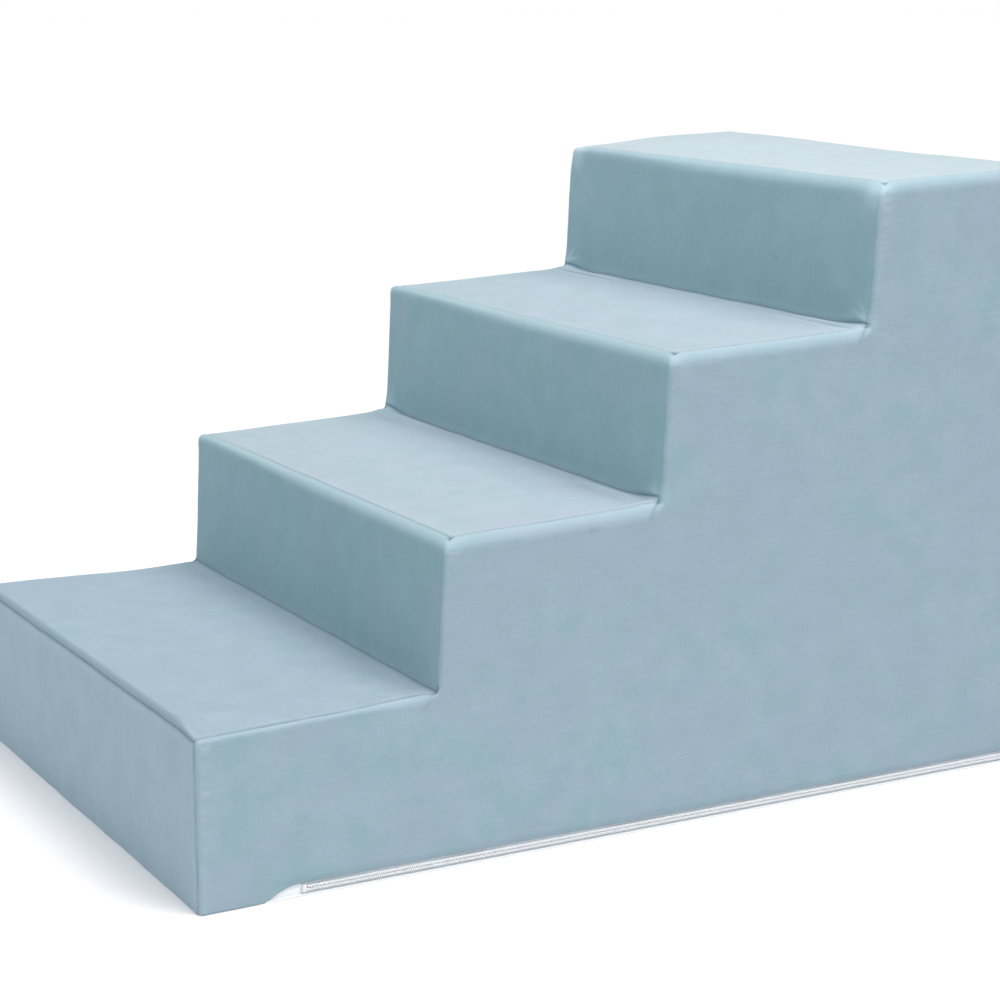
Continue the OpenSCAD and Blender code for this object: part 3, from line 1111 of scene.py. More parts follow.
class Shader:
    """Small builder for the nodes of a material or node group."""

    def __init__(self, tree: NodeTree) -> None:
        """Takes the node tree to build in."""
        self.tree = tree

    def node(self, kind: str, **settings: object) -> Node:
        """Adds a node with the given settings.

        Args:
            kind: Blender's name for the node.
            settings: Its settings.

        Returns:
            The node.
        """
        made = self.tree.nodes.new(kind)
        for name, value in settings.items():
            setattr(made, name, value)
        return made

    def put(self, socket: NodeSocket, value: Value) -> None:
        """Links a socket to an input, or sets the input's own value.

        Args:
            socket: The input.
            value: Socket, colour or number.
        """
        if isinstance(value, NodeSocket):
            self.tree.links.new(value, socket)
        elif isinstance(value, tuple) and len(value) == 3 and socket.type == "RGBA":
            socket.default_value = (*value, 1.0)
        else:
            socket.default_value = value

    def output_of(
        self, kind: str, inputs: dict[int | str, Value], out: int | str = 0, **settings: object
    ) -> NodeSocket:
        """Adds a node, fills its inputs and picks one of its outputs.

        Args:
            kind: Blender's name for the node.
            inputs: Values or sockets by input.
            out: The output.
            settings: The node's settings.

        Returns:
            The output's socket.
        """
        node = self.node(kind, **settings)
        for name, value in inputs.items():
            self.put(node.inputs[name], value)
        return node.outputs[out]

    def math(self, operation: str, a: Value, b: Value = 0.0, clamp: bool = False) -> NodeSocket:
        """Result of a sum on two numbers."""
        return self.output_of("ShaderNodeMath", {0: a, 1: b}, operation=operation, use_clamp=clamp)

    def stretched(self, vector: Value, scale: Value) -> NodeSocket:
        """Coordinates multiplied by a scale for each axis."""
        return self.output_of("ShaderNodeVectorMath", {0: vector, 1: scale}, operation="MULTIPLY")

    def noise(self, vector: Value, scale: float, detail: float = 2.0, roughness: float = 0.5) -> NodeSocket:
        """Noise from 0 to 1."""
        inputs = {"Vector": vector, "Scale": scale, "Detail": detail, "Roughness": roughness}
        return self.output_of("ShaderNodeTexNoise", inputs)

    def remap(
        self, value: Value, low: float, high: float, to_low: float = 0.0, to_high: float = 1.0
    ) -> NodeSocket:
        """Value between low and high moved to a new range, and kept in it."""
        inputs = {"Value": value, "From Min": low, "From Max": high, "To Min": to_low, "To Max": to_high}
        return self.output_of("ShaderNodeMapRange", inputs, interpolation_type="SMOOTHSTEP")

    def mix(self, factor: Value, a: Value, b: Value, blend: str = "MIX") -> NodeSocket:
        """Mix of two colours."""
        settings = {"data_type": "RGBA", "blend_type": blend, "clamp_result": True}
        return self.output_of("ShaderNodeMix", {0: factor, 6: a, 7: b}, 2, **settings)

    def value_of(self, name: str) -> NodeSocket:
        """Number stored on the mesh under a name."""
        return self.node("ShaderNodeAttribute", attribute_name=name).outputs["Fac"]

    def group(self, tree: NodeTree, **inputs: Value) -> Node:
        """Adds a node group with the given inputs.

        Args:
            tree: The node group.
            inputs: Values or sockets by input.

        Returns:
            The node.
        """
        made = self.node("ShaderNodeGroup", node_tree=tree)
        for name, value in inputs.items():
            self.put(made.inputs[name.replace("_", " ").capitalize()], value)
        return made


Sockets = dict[str, NodeSocket]


def new_group(name: str, inputs: dict[str, str], outputs: dict[str, str]) -> tuple[Shader, Sockets, Sockets]:
    """Starts a node group.

    Args:
        name: Name of the group.
        inputs: Kind of each input by name, as Color, Float or Vector.
        outputs: Kind of each output by name.

    Returns:
        The builder, the sockets that carry the inputs, and the sockets that take the outputs.
    """
    tree = bpy.data.node_groups.new(name, "ShaderNodeTree")
    for way, sockets in (("INPUT", inputs), ("OUTPUT", outputs)):
        for label, kind in sockets.items():
            tree.interface.new_socket(label, in_out=way, socket_type=f"NodeSocket{kind}")
    shader = Shader(tree)
    start, end = shader.node("NodeGroupInput"), shader.node("NodeGroupOutput")
    return shader, {n: start.outputs[n] for n in inputs}, {n: end.inputs[n] for n in outputs}


def nap_group() -> NodeTree:
    """Plush nap: soft patches of two tones, streaks along the pile and single tufts.

    Returns:
        The node group.
    """
    tones = {"Light": "Color", "Dark": "Color", "Cast": "Color"}
    shader, given, result = new_group(
        "Plush nap",
        {"Vector": "Vector", **tones, "Streak": "Vector", "Strength": "Float"},
        {"Color": "Color", "Height": "Float"},
    )
    at = given["Vector"]
    patches = shader.remap(shader.noise(at, 48.0, 3.0, 0.55), 0.34, 0.66)
    wide = shader.remap(shader.noise(at, 19.0, 2.0, 0.5), 0.35, 0.65)
    streaks = shader.noise(shader.stretched(at, given["Streak"]), 1.0, 2.0, 0.6)
    tufts = shader.noise(at, 900.0, 2.0, 0.6)
    blend = shader.math("MULTIPLY", patches, given["Strength"])
    tone = shader.mix(blend, given["Light"], given["Dark"])
    cast = shader.mix(shader.math("MULTIPLY", wide, 0.5), tone, given["Cast"])
    streak_tone = shader.remap(streaks, 0.25, 0.75, 0.978, 1.022)
    tuft_tone = shader.remap(tufts, 0.25, 0.75, 0.95, 1.05)
    lit = shader.mix(1.0, cast, shader.math("MULTIPLY", streak_tone, tuft_tone), "MULTIPLY")
    shader.put(result["Color"], lit)
    height = shader.math("ADD", shader.math("MULTIPLY", streaks, 0.13), shader.math("MULTIPLY", tufts, 0.35))
    shader.put(result["Height"], shader.math("ADD", height, shader.math("MULTIPLY", patches, 0.25)))
    return shader.tree


def fold_group() -> NodeTree:
    """Painted shade in seams and folds, and painted light on ridges.

    Returns:
        The node group.
    """
    shader, given, result = new_group(
        "Painted shade and light on seams and folds",
        {"Color": "Color", "Seam": "Float", "Fold": "Float", "Shade": "Color"},
        {"Color": "Color"},
    )
    ridge = shader.math("MAXIMUM", shader.math("MULTIPLY", given["Fold"], -1.0), 0.0)
    valley = shader.math("MAXIMUM", given["Fold"], 0.0)
    # Painted light on ridges, towards a pale blue, then painted shade in valleys and seams
    lighter = shader.mix(shader.math("MULTIPLY", ridge, 0.42, clamp=True), given["Color"], (0.55, 0.7, 0.79))
    darker = shader.mix(shader.math("MULTIPLY", valley, 0.38, clamp=True), lighter, given["Shade"])
    shader.put(result["Color"], shader.mix(given["Seam"], darker, given["Shade"]))
    return shader.tree


def weave_group() -> NodeTree:
    """Plain weave with slightly uneven threads.

    Returns:
        The node group.
    """
    shader, given, result = new_group(
        "Weave",
        {"Vector": "Vector", "Color": "Color", "Pitch": "Float"},
        {"Color": "Color", "Height": "Float"},
    )
    bend = shader.noise(given["Vector"], 300.0)
    inputs = {"Vector": given["Vector"], "Scale": given["Pitch"]}
    x, y, z = (shader.output_of("ShaderNodeTexWave", inputs, "Fac", bands_direction=axis) for axis in "XYZ")
    height = shader.math("MULTIPLY", shader.math("ADD", shader.math("ADD", x, y), z), 0.33)
    uneven = shader.math("ADD", shader.math("MULTIPLY", height, 0.8), shader.math("MULTIPLY", bend, 0.2))
    shade = shader.remap(uneven, 0.2, 0.7, 0.95, 1.0)
    shader.put(result["Height"], uneven)
    shader.put(result["Color"], shader.mix(1.0, given["Color"], shade, "MULTIPLY"))
    return shader.tree


def wear_group() -> NodeTree:
    """Small uneven tones and scuffs for enamel, rubber and plastic.

    Returns:
        The node group.
    """
    shader, given, result = new_group(
        "Wear",
        {"Vector": "Vector", "Color": "Color", "Amount": "Float"},
        {"Color": "Color", "Mask": "Float", "Height": "Float"},
    )
    cloud = shader.noise(given["Vector"], 350.0, 4.0, 0.6)
    along = shader.stretched(given["Vector"], (1.0, 0.15, 1.0))
    scuff = shader.remap(shader.noise(along, 2500.0, 3.0, 0.7), 0.6, 0.75)
    mask = shader.math("MULTIPLY", scuff, given["Amount"], clamp=True)
    shaded = shader.mix(1.0, given["Color"], shader.remap(cloud, 0.3, 0.7, 0.97, 1.0), "MULTIPLY")
    shader.put(result["Color"], shader.mix(shader.math("MULTIPLY", mask, 0.35), shaded, (0.5, 0.5, 0.52)))
    shader.put(result["Mask"], mask)
    shader.put(result["Height"], cloud)
    return shader.tree


@dataclass(frozen=True)
class Finish:
    """Base of all finishes: a named material on the object's own coordinates."""

    name: str
    colour: Colour
    roughness: float

    def start(self) -> tuple[Material, Shader, Node, NodeSocket]:
        """Makes the material with its shader and coordinates.

        Returns:
            The material, its builder, its shader and the object's coordinates.
        """
        material = bpy.data.materials.new(self.name)
        material.use_nodes = True
        shader = Shader(material.node_tree)
        surface = next(n for n in material.node_tree.nodes if n.type == "BSDF_PRINCIPLED")
        surface.inputs["Roughness"].default_value = self.roughness
        where = shader.node("ShaderNodeTexCoord").outputs["Object"]
        return material, shader, surface, where

    @staticmethod
    def bump(shader: Shader, surface: Node, height: Value, distance: float, strength: float) -> None:
        """Roughens the surface with a height."""
        inputs = {"Height": height, "Distance": distance, "Strength": strength}
        shader.put(surface.inputs["Normal"], shader.output_of("ShaderNodeBump", inputs, "Normal"))


@dataclass(frozen=True)
class Plush(Finish):
    """Short plush with a mottled nap.

    Attributes:
        dark: Tone of the patches where the nap lies the other way.
        cast: Tone of the wide lavender patches.
        streak: Number of streaks per metre along each axis.
        crown: Painted light: how far the tone turns to the other one where the panel faces up.
        skirt: Painted shade: how far it turns to the other one where the panel is upright.
        other: Lit or shaded tone that is painted where the panel faces up or stands upright.
        turn: Upward shares of the normal between which the painted tone turns.
        seam: Painted shade of the pile deep in a seam.
    """

    dark: Colour = (0.0, 0.0, 0.0)
    cast: Colour = (0.0, 0.0, 0.0)
    streak: Triple = (0.0, 0.0, 0.0)
    strength: float = 0.8
    sheen: float = 0.3
    crown: float = 0.0
    skirt: float = 0.0
    other: Colour = srgb(172, 190, 199)
    turn: tuple[float, float] = (0.15, 0.95)
    seam: Colour = srgb(84, 110, 122)

    def build(self, nap: NodeTree, fold: NodeTree) -> Material:
        """Makes the material.

        Args:
            nap: Group of the nap.
            fold: Group of the seams and folds.

        Returns:
            The material.
        """
        material, shader, surface, where = self.start()
        tones = {"light": self.colour, "dark": self.dark, "cast": self.cast}
        pile = shader.group(nap, vector=where, streak=self.streak, strength=self.strength, **tones)
        # Painted light where the panel faces up and painted shade where it stands upright: the tone turns to
        # the other one
        turned = shader.remap(shader.value_of("up"), *self.turn, self.skirt, self.crown)
        tone = shader.mix(turned, pile.outputs["Color"], self.other)
        masks = {name: shader.value_of(name) for name in ("seam", "fold")}
        sewn = shader.group(fold, color=tone, shade=self.seam, **masks)
        shader.put(surface.inputs["Base Color"], sewn.outputs["Color"])
        surface.inputs["Sheen Weight"].default_value = self.sheen
        surface.inputs["Sheen Roughness"].default_value = 0.45
        surface.inputs["Sheen Tint"].default_value = (0.87, 0.95, 1.0, 1.0)
        surface.inputs["Specular IOR Level"].default_value = 0.15
        self.bump(shader, surface, pile.outputs["Height"], 0.5 * MM, 0.55)
        return material


@dataclass(frozen=True)
class Woven(Finish):
    """Woven cloth or tape. Its pitch is the weave's scale."""

    pitch: float = 300.0
    depth: float = 0.1 * MM

    def build(self, weave: NodeTree) -> Material:
        """Makes the material.

        Args:
            weave: Group of the weave.

        Returns:
            The material.
        """
        material, shader, surface, where = self.start()
        cloth = shader.group(weave, vector=where, color=self.colour, pitch=self.pitch)
        shader.put(surface.inputs["Base Color"], cloth.outputs["Color"])
        surface.inputs["Sheen Weight"].default_value = 0.1
        surface.inputs["Specular IOR Level"].default_value = 0.2
        self.bump(shader, surface, cloth.outputs["Height"], self.depth, 0.6)
        return material


@dataclass(frozen=True)
class Worn(Finish):
    """Enamel, nylon or rubber with a share of wear and of clear coat."""

    amount: float = 0.3
    coat: float = 0.0

    def build(self, wear: NodeTree) -> Material:
        """Makes the material.

        Args:
            wear: Group of the wear.

        Returns:
            The material.
        """
        material, shader, surface, where = self.start()
        used = shader.group(wear, vector=where, color=self.colour, amount=self.amount)
        shader.put(surface.inputs["Base Color"], used.outputs["Color"])
        scuffed = shader.math("MULTIPLY", used.outputs["Mask"], 0.2)
        shader.put(surface.inputs["Roughness"], shader.math("ADD", scuffed, self.roughness))
        surface.inputs["Coat Weight"].default_value = self.coat
        self.bump(shader, surface, used.outputs["Height"], 0.02 * MM, 0.3)
        return material


@dataclass(frozen=True)
class Foam(Finish):
    """Open-cell foam."""

    def build(self) -> Material:
        """Makes the material.

        Returns:
            The material.
        """
        material, shader, surface, where = self.start()
        inputs = {"Vector": where, "Scale": 1100.0}
        cells = shader.output_of("ShaderNodeTexVoronoi", inputs, "Distance", feature="F1")
        # Darker in the pits of the cells: painted shade
        tone = shader.remap(cells, 0.1, 0.7, 0.8, 1.05)
        shader.put(surface.inputs["Base Color"], shader.mix(1.0, self.colour, tone, "MULTIPLY"))
        self.bump(shader, surface, cells, 0.4 * MM, 0.5)
        return material


SIDE_RUN: Triple = (60.0, 70.0, 700.0)
RISER_RUN: Triple = (600.0, 90.0, 70.0)
TREAD_RUN: Triple = (120.0, 500.0, 90.0)


def plush(name: str, tone: tuple[int, int, int], streak: Triple, **more: object) -> Plush:
    """Plush of a tone, with patches a little greener and darker, and wide patches of lavender.

    Args:
        name: Name of the material.
        tone: Its tone as a screen shows it.
        streak: Streaks per metre along each axis.
        more: Other values of the finish.

    Returns:
        The finish.
    """
    red, green, blue = tone
    dark, cast = srgb(red - 9, green - 5, blue - 7), srgb(red, green - 6, blue - 2)
    return Plush(name, srgb(*tone), 0.95, dark=dark, cast=cast, streak=streak, **more)


class Kind(Enum):
    """Lit and shaded copies of one plush, one for each group of panels: their tones paint the light and shade
    that falls on each panel, and each has its own run of the nap.
    """

    # Painted shade on the lowest tread and the upper risers, painted light on the first riser and the top
    # tread
    SIDE = plush("plush_side", (155, 178, 192), SIDE_RUN, crown=0.3)
    RISER_1 = plush("plush_riser_front", (159, 181, 194), RISER_RUN)
    RISER = plush("plush_riser", (141, 171, 181), RISER_RUN, crown=0.45)
    TREAD_1 = plush(
        "plush_tread_low", (154, 173, 186), TREAD_RUN, skirt=1.0, other=srgb(136, 160, 172), turn=(0.75, 0.99)
    )
    TREAD_2 = plush("plush_tread", (167, 183, 193), TREAD_RUN, skirt=0.75, other=srgb(145, 176, 187))
    TREAD_4 = plush("plush_tread_top", (182, 196, 203), TREAD_RUN, sheen=0.35)


# The plush cover


@dataclass
class Cover:
    """Plush cover: panels that meet at the seams, with their bulges, grooves and folds."""

    seams: Seams
    drape: CoverDrape
    materials: dict[Kind, Material]
    fine: float = 0.55 * MM
    coarse: float = 2.5 * MM
    growth: float = 1.13
    arc_steps: tuple[float, ...] = (0.85, 0.7, 0.56, 0.43, 0.32, 0.22, 0.14, 0.08, 0.035, 0.0)
    inset_share: float = 0.65
    front_lift: float = 5.8 * MM
    front_band: tuple[float, float] = (-23 * MM, -14 * MM)
    front_fade: float = 130 * MM
    far_from: float = 20 * MM
    far_fade: float = 150 * MM
    far_lift: float = 2.2 * MM
    far_band: tuple[float, float] = (-30 * MM, -10 * MM)
    far_rear: tuple[float, float] = (20 * MM, 90 * MM)
    far_nose: float = 2.1 * MM
    far_nose_w: float = 4.5 * MM
    uneven: tuple[Wave, ...] = (Wave(0.4 * MM, 55 * MM, 1.0), Wave(0.2 * MM, 21 * MM, 2.0))
    flat_height: float = 100 * MM
    rim_step: float = 0.75 * MM
    grid_growth: float = 1.16
    zip_steps: tuple[float, float] = (1.1 * MM, 1.2 * MM)
    wide_step: float = 3.2 * MM
    even_steps: tuple[float, float] = (1.8 * MM, 2.8 * MM)
    opening_lead: float = 2.5 * MM
    tiny: float = 1e-6
    pull_power: float = -3
    batch: int = 3000

    def __post_init__(self) -> None:
        """Keeps the outline and the sizes at hand."""
        self.outline = self.seams.outline
        self.sizes = self.seams.sizes

    def build(self) -> list[Object]:
        """Builds all panels of the cover.

        Returns:
            The pieces.
        """
        seams, steps = self.seams, self.sizes.steps
        # Lit and shaded copies of the plush: each step's tread and riser take the painted light or shade of
        # their place
        treads = (Kind.TREAD_1, Kind.TREAD_2, Kind.TREAD_2, Kind.TREAD_4)
        made = []
        for k, tread in enumerate(treads, 1):
            foot, nose = (seams.foot_line, k), (seams.nose_line, k)
            far = (seams.foot_line, k + 1) if k < steps else (seams.back_line, 0)
            riser = Kind.RISER_1 if k == 1 else Kind.RISER
            made.append(self._strip(f"cover_riser_{k}", f"riser_panel_{k}", foot, nose, riser))
            made.append(self._strip(f"cover_tread_{k}", f"tread_panel_{k}", nose, far, tread))
        made.append(self._strip("cover_back", "back_panel", (seams.back_line, 0), None, Kind.RISER_1))
        made += [self._side(side) for side in Side]
        return made

    def _shape(self, panel: Object, points: Array, normals: Array) -> None:
        """Moves a plain panel to its soft form and stores the masks with which its material paints shade in
        the seams, shade and light on the folds, and light or shade by the way that the panel faces.

        Args:
            panel: The plain panel.
            points: Its points.
            normals: Outward normals at these points.
        """
        dips, shade, folds = self.seams.dips(points)
        uneven = sum(wave.over(points) for wave in self.uneven)
        lift = self.drape.shift(points, normals) + uneven
        place_points(panel.data, points + normals * (lift - dips)[:, None] + self._filled(points))
        for name, values in (("seam", shade), ("fold", folds), ("up", normals[:, 2])):
            set_values(panel.data, name, values)
        thicken(panel, self.sizes.fabric)

    def _filled(self, points: Array) -> Array:
        """Moves by which the foam fills the cover beyond its plain form.

        The front edge of the first tread is full and drops only at the near corner. On the far
        side the later noses are sharper and the top tread is higher.

        Args:
            points: Points on the plain cover, one row each.

        Returns:
            One move for each point.
        """
        sizes, line = self.sizes, self.outline
        x, y, z = points.T
        moves = np.zeros_like(points)
        up = rising(z - sizes.first_rise, *self.front_band)
        behind = 1 - smooth((y - sizes.front) / self.front_fade)
        moves[:, 2] = self.front_lift * sizes.off_near_side(x) * up * behind
        far = smooth((self.far_from - x) / self.far_fade)
        for k in range(2, sizes.steps + 1):
            place, normal = line.at(np.array([line.nose_middle(k)]))
            share = far * bell(np.hypot(y - place[0, 0], z - place[0, 1]), self.far_nose_w)
            moves[:, 1:] += self.far_nose * share[:, None] * normal
        top = rising(z - sizes.tread_z(sizes.steps), *self.far_band)
        rear = rising(y - sizes.foot(sizes.steps)[0], *self.far_rear)
        moves[:, 2] += self.far_lift * far * top * rear
        return moves

    def _strip(
        self, name: str, node: str, start: tuple[SeamLine, int], end: tuple[SeamLine, int] | None, kind: Kind
    ) -> Object:
        """Panel between two seams that run across the stairs.

        Args:
            name: Name of the piece.
            node: CAD node that it stands for.
            start: Seam line and step number at its lower end.
            end: Seam line and step number at its upper end, or None for the zip.
            kind: Kind of plush.

        Returns:
            The panel.
        """

        def ends(x: Array) -> tuple[Array, Array]:
            """Places of the panel's lower and upper end."""
            first = start[0](start[1], x)
            return first, end[0](end[1], x) if end else np.full_like(first, self.outline.end())

        middle = ends(np.zeros(1))
        length = float(middle[1][0] - middle[0][0])
        steps = (self.fine, self.fine, self.coarse, self.growth)
        rows = graded(length, *steps) / length
        columns = graded(self.sizes.width, *steps) / self.sizes.half - 1.0
        panel = to_object(grid(columns, rows), name)
        at = points_of(panel.data)
        u, t = at[:, 0], at[:, 1]
        s = middle[0][0] + t * length
        for _ in range(2):
            right, left = (self.seams.side_x(s, side) for side in Side)
            x = u * np.where(u > 0, right, left)
            first, last = ends(x)
            s = first + t * (last - first)
        places, normals = self.outline.at(s)
        points = np.column_stack([x, places])
        self._shape(panel, points, np.column_stack([np.zeros(len(x)), normals]))
        self._face_out(panel, Vector((0.0, *normals[len(normals) // 2])), points[len(points) // 2])
        return self._dress(panel, node, kind)

    @staticmethod
    def _face_out(panel: Object, outward: Vector, near: Array) -> None:
        """Turns all faces of a sheet so that its normals point outwards.

        Args:
            panel: The sheet.
            outward: Direction that is outwards.
            near: Point near which this holds.
        """
        face = min(panel.data.polygons, key=lambda p: (p.center - Vector(near)).length_squared)
        if face.normal.dot(outward) < 0:
            panel.data.flip_normals()

    def _dress(self, panel: Object, node: str, kind: Kind) -> Object:
        """Gives a panel its finish and hides the CAD node that it stands for."""
        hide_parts(node)
        return dress(panel, self.materials[kind])

    def _side_lines(self) -> tuple[list[float], list[float]]:
        """Upright and level lines of the plain stepped grid inside the rolled edge.

        Returns:
            Y of the upright lines and Z of the level ones.
        """
        sizes, line = self.sizes, self.outline
        upright = [sizes.foot(k)[0] + sizes.tight_roll for k in range(1, sizes.steps + 1)]
        upright.append(sizes.back - sizes.side_roll)
        level = [sizes.zip_top]
        for k in range(1, sizes.steps + 1):
            roll = float(line.roll(np.array([line.nose_middle(k)]))[0])
            level.append(sizes.tread_z(k) - sizes.tread_fall / 2 - (roll + sizes.side_roll) / 2)
        return upright, level

    def _inset_place(self, first: float, last: float, t: Array) -> Array:
        """Places on the outline that are evenly spaced where the rolled edge ends.

        Args:
            first: Place at t = 0.
            last: Place at t = 1.
            t: Shares of the way.

        Returns:
            Places on the outline.
        """
        s = self.outline.table[:, 0]
        inner, _ = self.outline.at(s, self.outline.roll(s))
        run = np.concatenate([[0.0], np.cumsum(np.linalg.norm(np.diff(inner, axis=0), axis=1))])
        measure = (1 - self.inset_share) * s + self.inset_share * run
        low, high = np.interp([first, last], s, measure)
        return np.interp(low + t * (high - low), measure, s)

    def _edge_places(self, edge: Array, upright: list[float], level: list[float]) -> Array:
        """Places on the outline for the grid's points on the stepped line, or -1 for other points.

        Args:
            edge: Y and Z of the points on the grid's rim.
            upright: Y of the upright lines.
            level: Z of the level lines.

        Returns:
            One place for each point.
        """
        line, steps = self.outline, self.sizes.steps
        y, z = edge.T
        s = np.full(len(edge), -1.0)
        for k, front, rear, low, high in zip(range(1, steps + 1), upright, upright[1:], level, level[1:]):
            nose = line.nose_middle(k)
            end = line.foot_middle(k + 1) if k < steps else line.back_top()
            rise = self._on(y, front) & self._within(z, low, high)
            tread = self._on(z, high) & self._within(y, front, rear)
            s[rise] = self._inset_place(line.foot_middle(k), nose, (z[rise] - low) / (high - low))
            s[tread] = self._inset_place(nose, end, (y[tread] - front) / (rear - front))
        back = self._on(y, upright[-1])
        share = (level[-1] - z[back]) / (level[-1] - level[0])
        s[back] = self._inset_place(line.back_top(), line.end(), share)
        return s

    def _on(self, values: Array, goal: float) -> Array:
        """Which values lie on the goal."""
        return np.abs(values - goal) < self.tiny

    def _within(self, values: Array, low: float, high: float) -> Array:
        """Which values lie between low and high."""
        return (values > low - self.tiny) & (values < high + self.tiny)

    def _opening_span(self) -> tuple[float, float]:
        """Y at which a side panel's lower edge starts to rise, and at which it is full."""
        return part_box("zipper_tape_upper")[0].y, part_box("zipper_coil_upper")[0].y - self.opening_lead

    def _opening(self, y: Array) -> Array:
        """Height of a side panel's lower edge, which rises over the end of the zip."""
        t = np.interp(y, self._opening_span(), (0.0, 1.0))
        return self.sizes.edge + (self.sizes.zip_top - self.sizes.edge) * t * (2 - t)

    def _side_grid(self) -> tuple[bmesh.types.BMesh, list[float], list[float]]:
        """Stepped grid of a side panel, still with square corners.

        Returns:
            The grid with its upright and level lines.
        """
        upright, level = self._side_lines()
        columns, rows = [np.array([upright[0]])], [np.array([level[0]])]
        start, full = self._opening_span()
        stops = [(y, self.rim_step) for y in upright] + [(y, self.zip_steps[0]) for y in (start, full)]
        stops.sort()
        for (a, first), (b, last) in zip(stops, stops[1:]):
            most = self.zip_steps[1] if a == start else self.wide_step
            columns.append(a + graded(b - a, first, last, most, self.grid_growth)[1:])
        for k, (a, b) in enumerate(zip(level, level[1:]), 1):
            most = self.even_steps[0] if k in (1, self.sizes.steps) else self.even_steps[1]
            rows.append(a + graded(b - a, self.rim_step, self.rim_step, most, self.grid_growth)[1:])
        bm = grid(np.concatenate(columns), np.concatenate(rows))
        outside = []
        for face in bm.faces:
            middle = face.calc_center_median()
            k = sum(middle.y > z for z in level[1:])
            if middle.x < upright[k]:
                outside.append(face)
        bmesh.ops.delete(bm, geom=outside, context="FACES")
        return bm, upright, level

    def _side(self, side: Side) -> Object:
        """Side panel, which rolls over the edge of the foam onto the treads and risers.

        Args:
            side: Side of the stairs.

        Returns:
            The panel.
        """
        sizes, line = self.sizes, self.outline
        bm, upright, level = self._side_grid()
        layers = bm.verts.layers.float
        place_layer, arc_layer = layers.new("place"), layers.new("arc")
        rim = [v for v in bm.verts if v.is_boundary]
        at = np.array([(v.co.x, v.co.y) for v in rim])
        s = self._edge_places(at, upright, level)
        for v in bm.verts:
            v[place_layer], v[arc_layer] = -1.0, 1.0
        for v, place in zip(rim, s):
            v[place_layer] = place
        rim_edges = [e for e in bm.edges if e.is_boundary]
        edges = [e for e in rim_edges if all(v[place_layer] >= 0 for v in e.verts)]
        for share in self.arc_steps:
            swept = bmesh.ops.extrude_edge_only(bm, edges=edges)["geom"]
            edges = self._front(swept)
            for v in {v for e in edges for v in e.verts}:
                v[arc_layer] = share
        panel = to_object(bm, f"cover_side_{side.word}")
        flat = points_of(panel.data)
        place, arc = get_values(panel.data, "place"), get_values(panel.data, "arc")
        points, normals = self._side_points(side, flat, place, arc, (at, s))
        self._shape(panel, points, normals)
        inner = int(np.argmin(np.abs(points[:, 1]) + np.abs(points[:, 2] - self.flat_height)))
        self._face_out(panel, Vector((side.value, 0.0, 0.0)), points[inner])
        return self._dress(panel, f"side_panel_{side.word}", Kind.SIDE)

    @staticmethod
    def _front(swept: list) -> list[bmesh.types.BMEdge]:
        """Newest edges of an extrusion: those that no second face uses and whose ends are both new."""
        new = {g for g in swept if isinstance(g, bmesh.types.BMVert)}
        return [g for g in swept if isinstance(g, bmesh.types.BMEdge) and new.issuperset(g.verts)]

    def _side_points(
        self,
        side: Side,
        flat: Array,
        place: Array,
        arc: Array,
        edge: tuple[Array, Array],
    ) -> tuple[Array, Array]:
        """Points and outward normals of a side panel before its soft form.

        Args:
            side: Side of the stairs.
            flat: Points of the stepped grid.
            place: Place on the outline for points on the rim and the roll, or -1.
            arc: Share of the roll's quarter turn that is left at each point.
            edge: Points on the grid's boundary with their places on the outline.

        Returns:
            The points and the normals.
        """
        sizes, line = self.sizes, self.outline
        points, normals = np.zeros((len(flat), 3)), np.zeros((len(flat), 3))
        on_line = place >= 0
        s, turn = place[on_line], (1 - arc[on_line]) * math.pi / 2
        deep = line.roll(s, side)
        yz, n = line.at(s, deep * (1 - np.sin(turn)))
        reach = sizes.half - self.seams.side_x(s, side)
        points[on_line] = np.column_stack([side.value * (sizes.half - reach * (1 - np.cos(turn))), yz])
        normals[on_line] = np.column_stack([side.value * np.cos(turn), np.sin(turn)[:, None] * n])
        at, where = edge
        known = where >= 0
        goal = at.copy()
        goal[known], _ = line.at(where[known], line.roll(where[known], side))
        goal[~known, 1] = self._opening(at[~known, 0])
        goal[known & self._on(at[:, 1], at[:, 1].min()), 1] = [sizes.edge, sizes.zip_top]
        moves = goal - at
        plain = flat[~on_line, :2]
        shifts = np.empty_like(plain)
        for low in range(0, len(plain), self.batch):
            part = slice(low, low + self.batch)
            off = np.linalg.norm(plain[part, None] - at[None], axis=2) + self.tiny
            weights = off**self.pull_power
            shifts[part] = weights @ moves / weights.sum(1, keepdims=True)
        points[~on_line] = np.column_stack([np.full(len(plain), side.value * sizes.half), plain + shifts])
        normals[~on_line] = (side.value, 0.0, 0.0)
        return points, normals


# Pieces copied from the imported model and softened

SAME_PLACE = 1e-6
FLAT_ANGLE = math.radians(1.0)
EDGE_ANGLE = math.radians(35.0)
SHARP_ANGLE = math.radians(40.0)


def softened(node: str, name: str, edge: float) -> Object:
    """Copy of a CAD node with clean faces and rounded edges.

    Args:
        node: CAD node to copy and to replace.
        name: Name of the piece.
        edge: Radius of the rounded edges.

    Returns:
        The piece.
    """
    bm = bmesh.new()
    bm.from_mesh(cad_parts[node].data)
    bmesh.ops.remove_doubles(bm, verts=bm.verts, dist=SAME_PLACE)
    bmesh.ops.dissolve_limit(bm, angle_limit=FLAT_ANGLE, verts=bm.verts, edges=bm.edges)
    sharp = [e for e in bm.edges if e.is_manifold and e.calc_face_angle(0.0) > EDGE_ANGLE]
    bmesh.ops.bevel(
        bm, geom=sharp, offset=edge, segments=2, profile=0.5, affect="EDGES", material=-1, clamp_overlap=True
    )
    bmesh.ops.recalc_face_normals(bm, faces=bm.faces)
    copy = to_object(bm, name)
    copy.data.set_sharp_from_angle(angle=SHARP_ANGLE)
    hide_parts(node)
    return copy


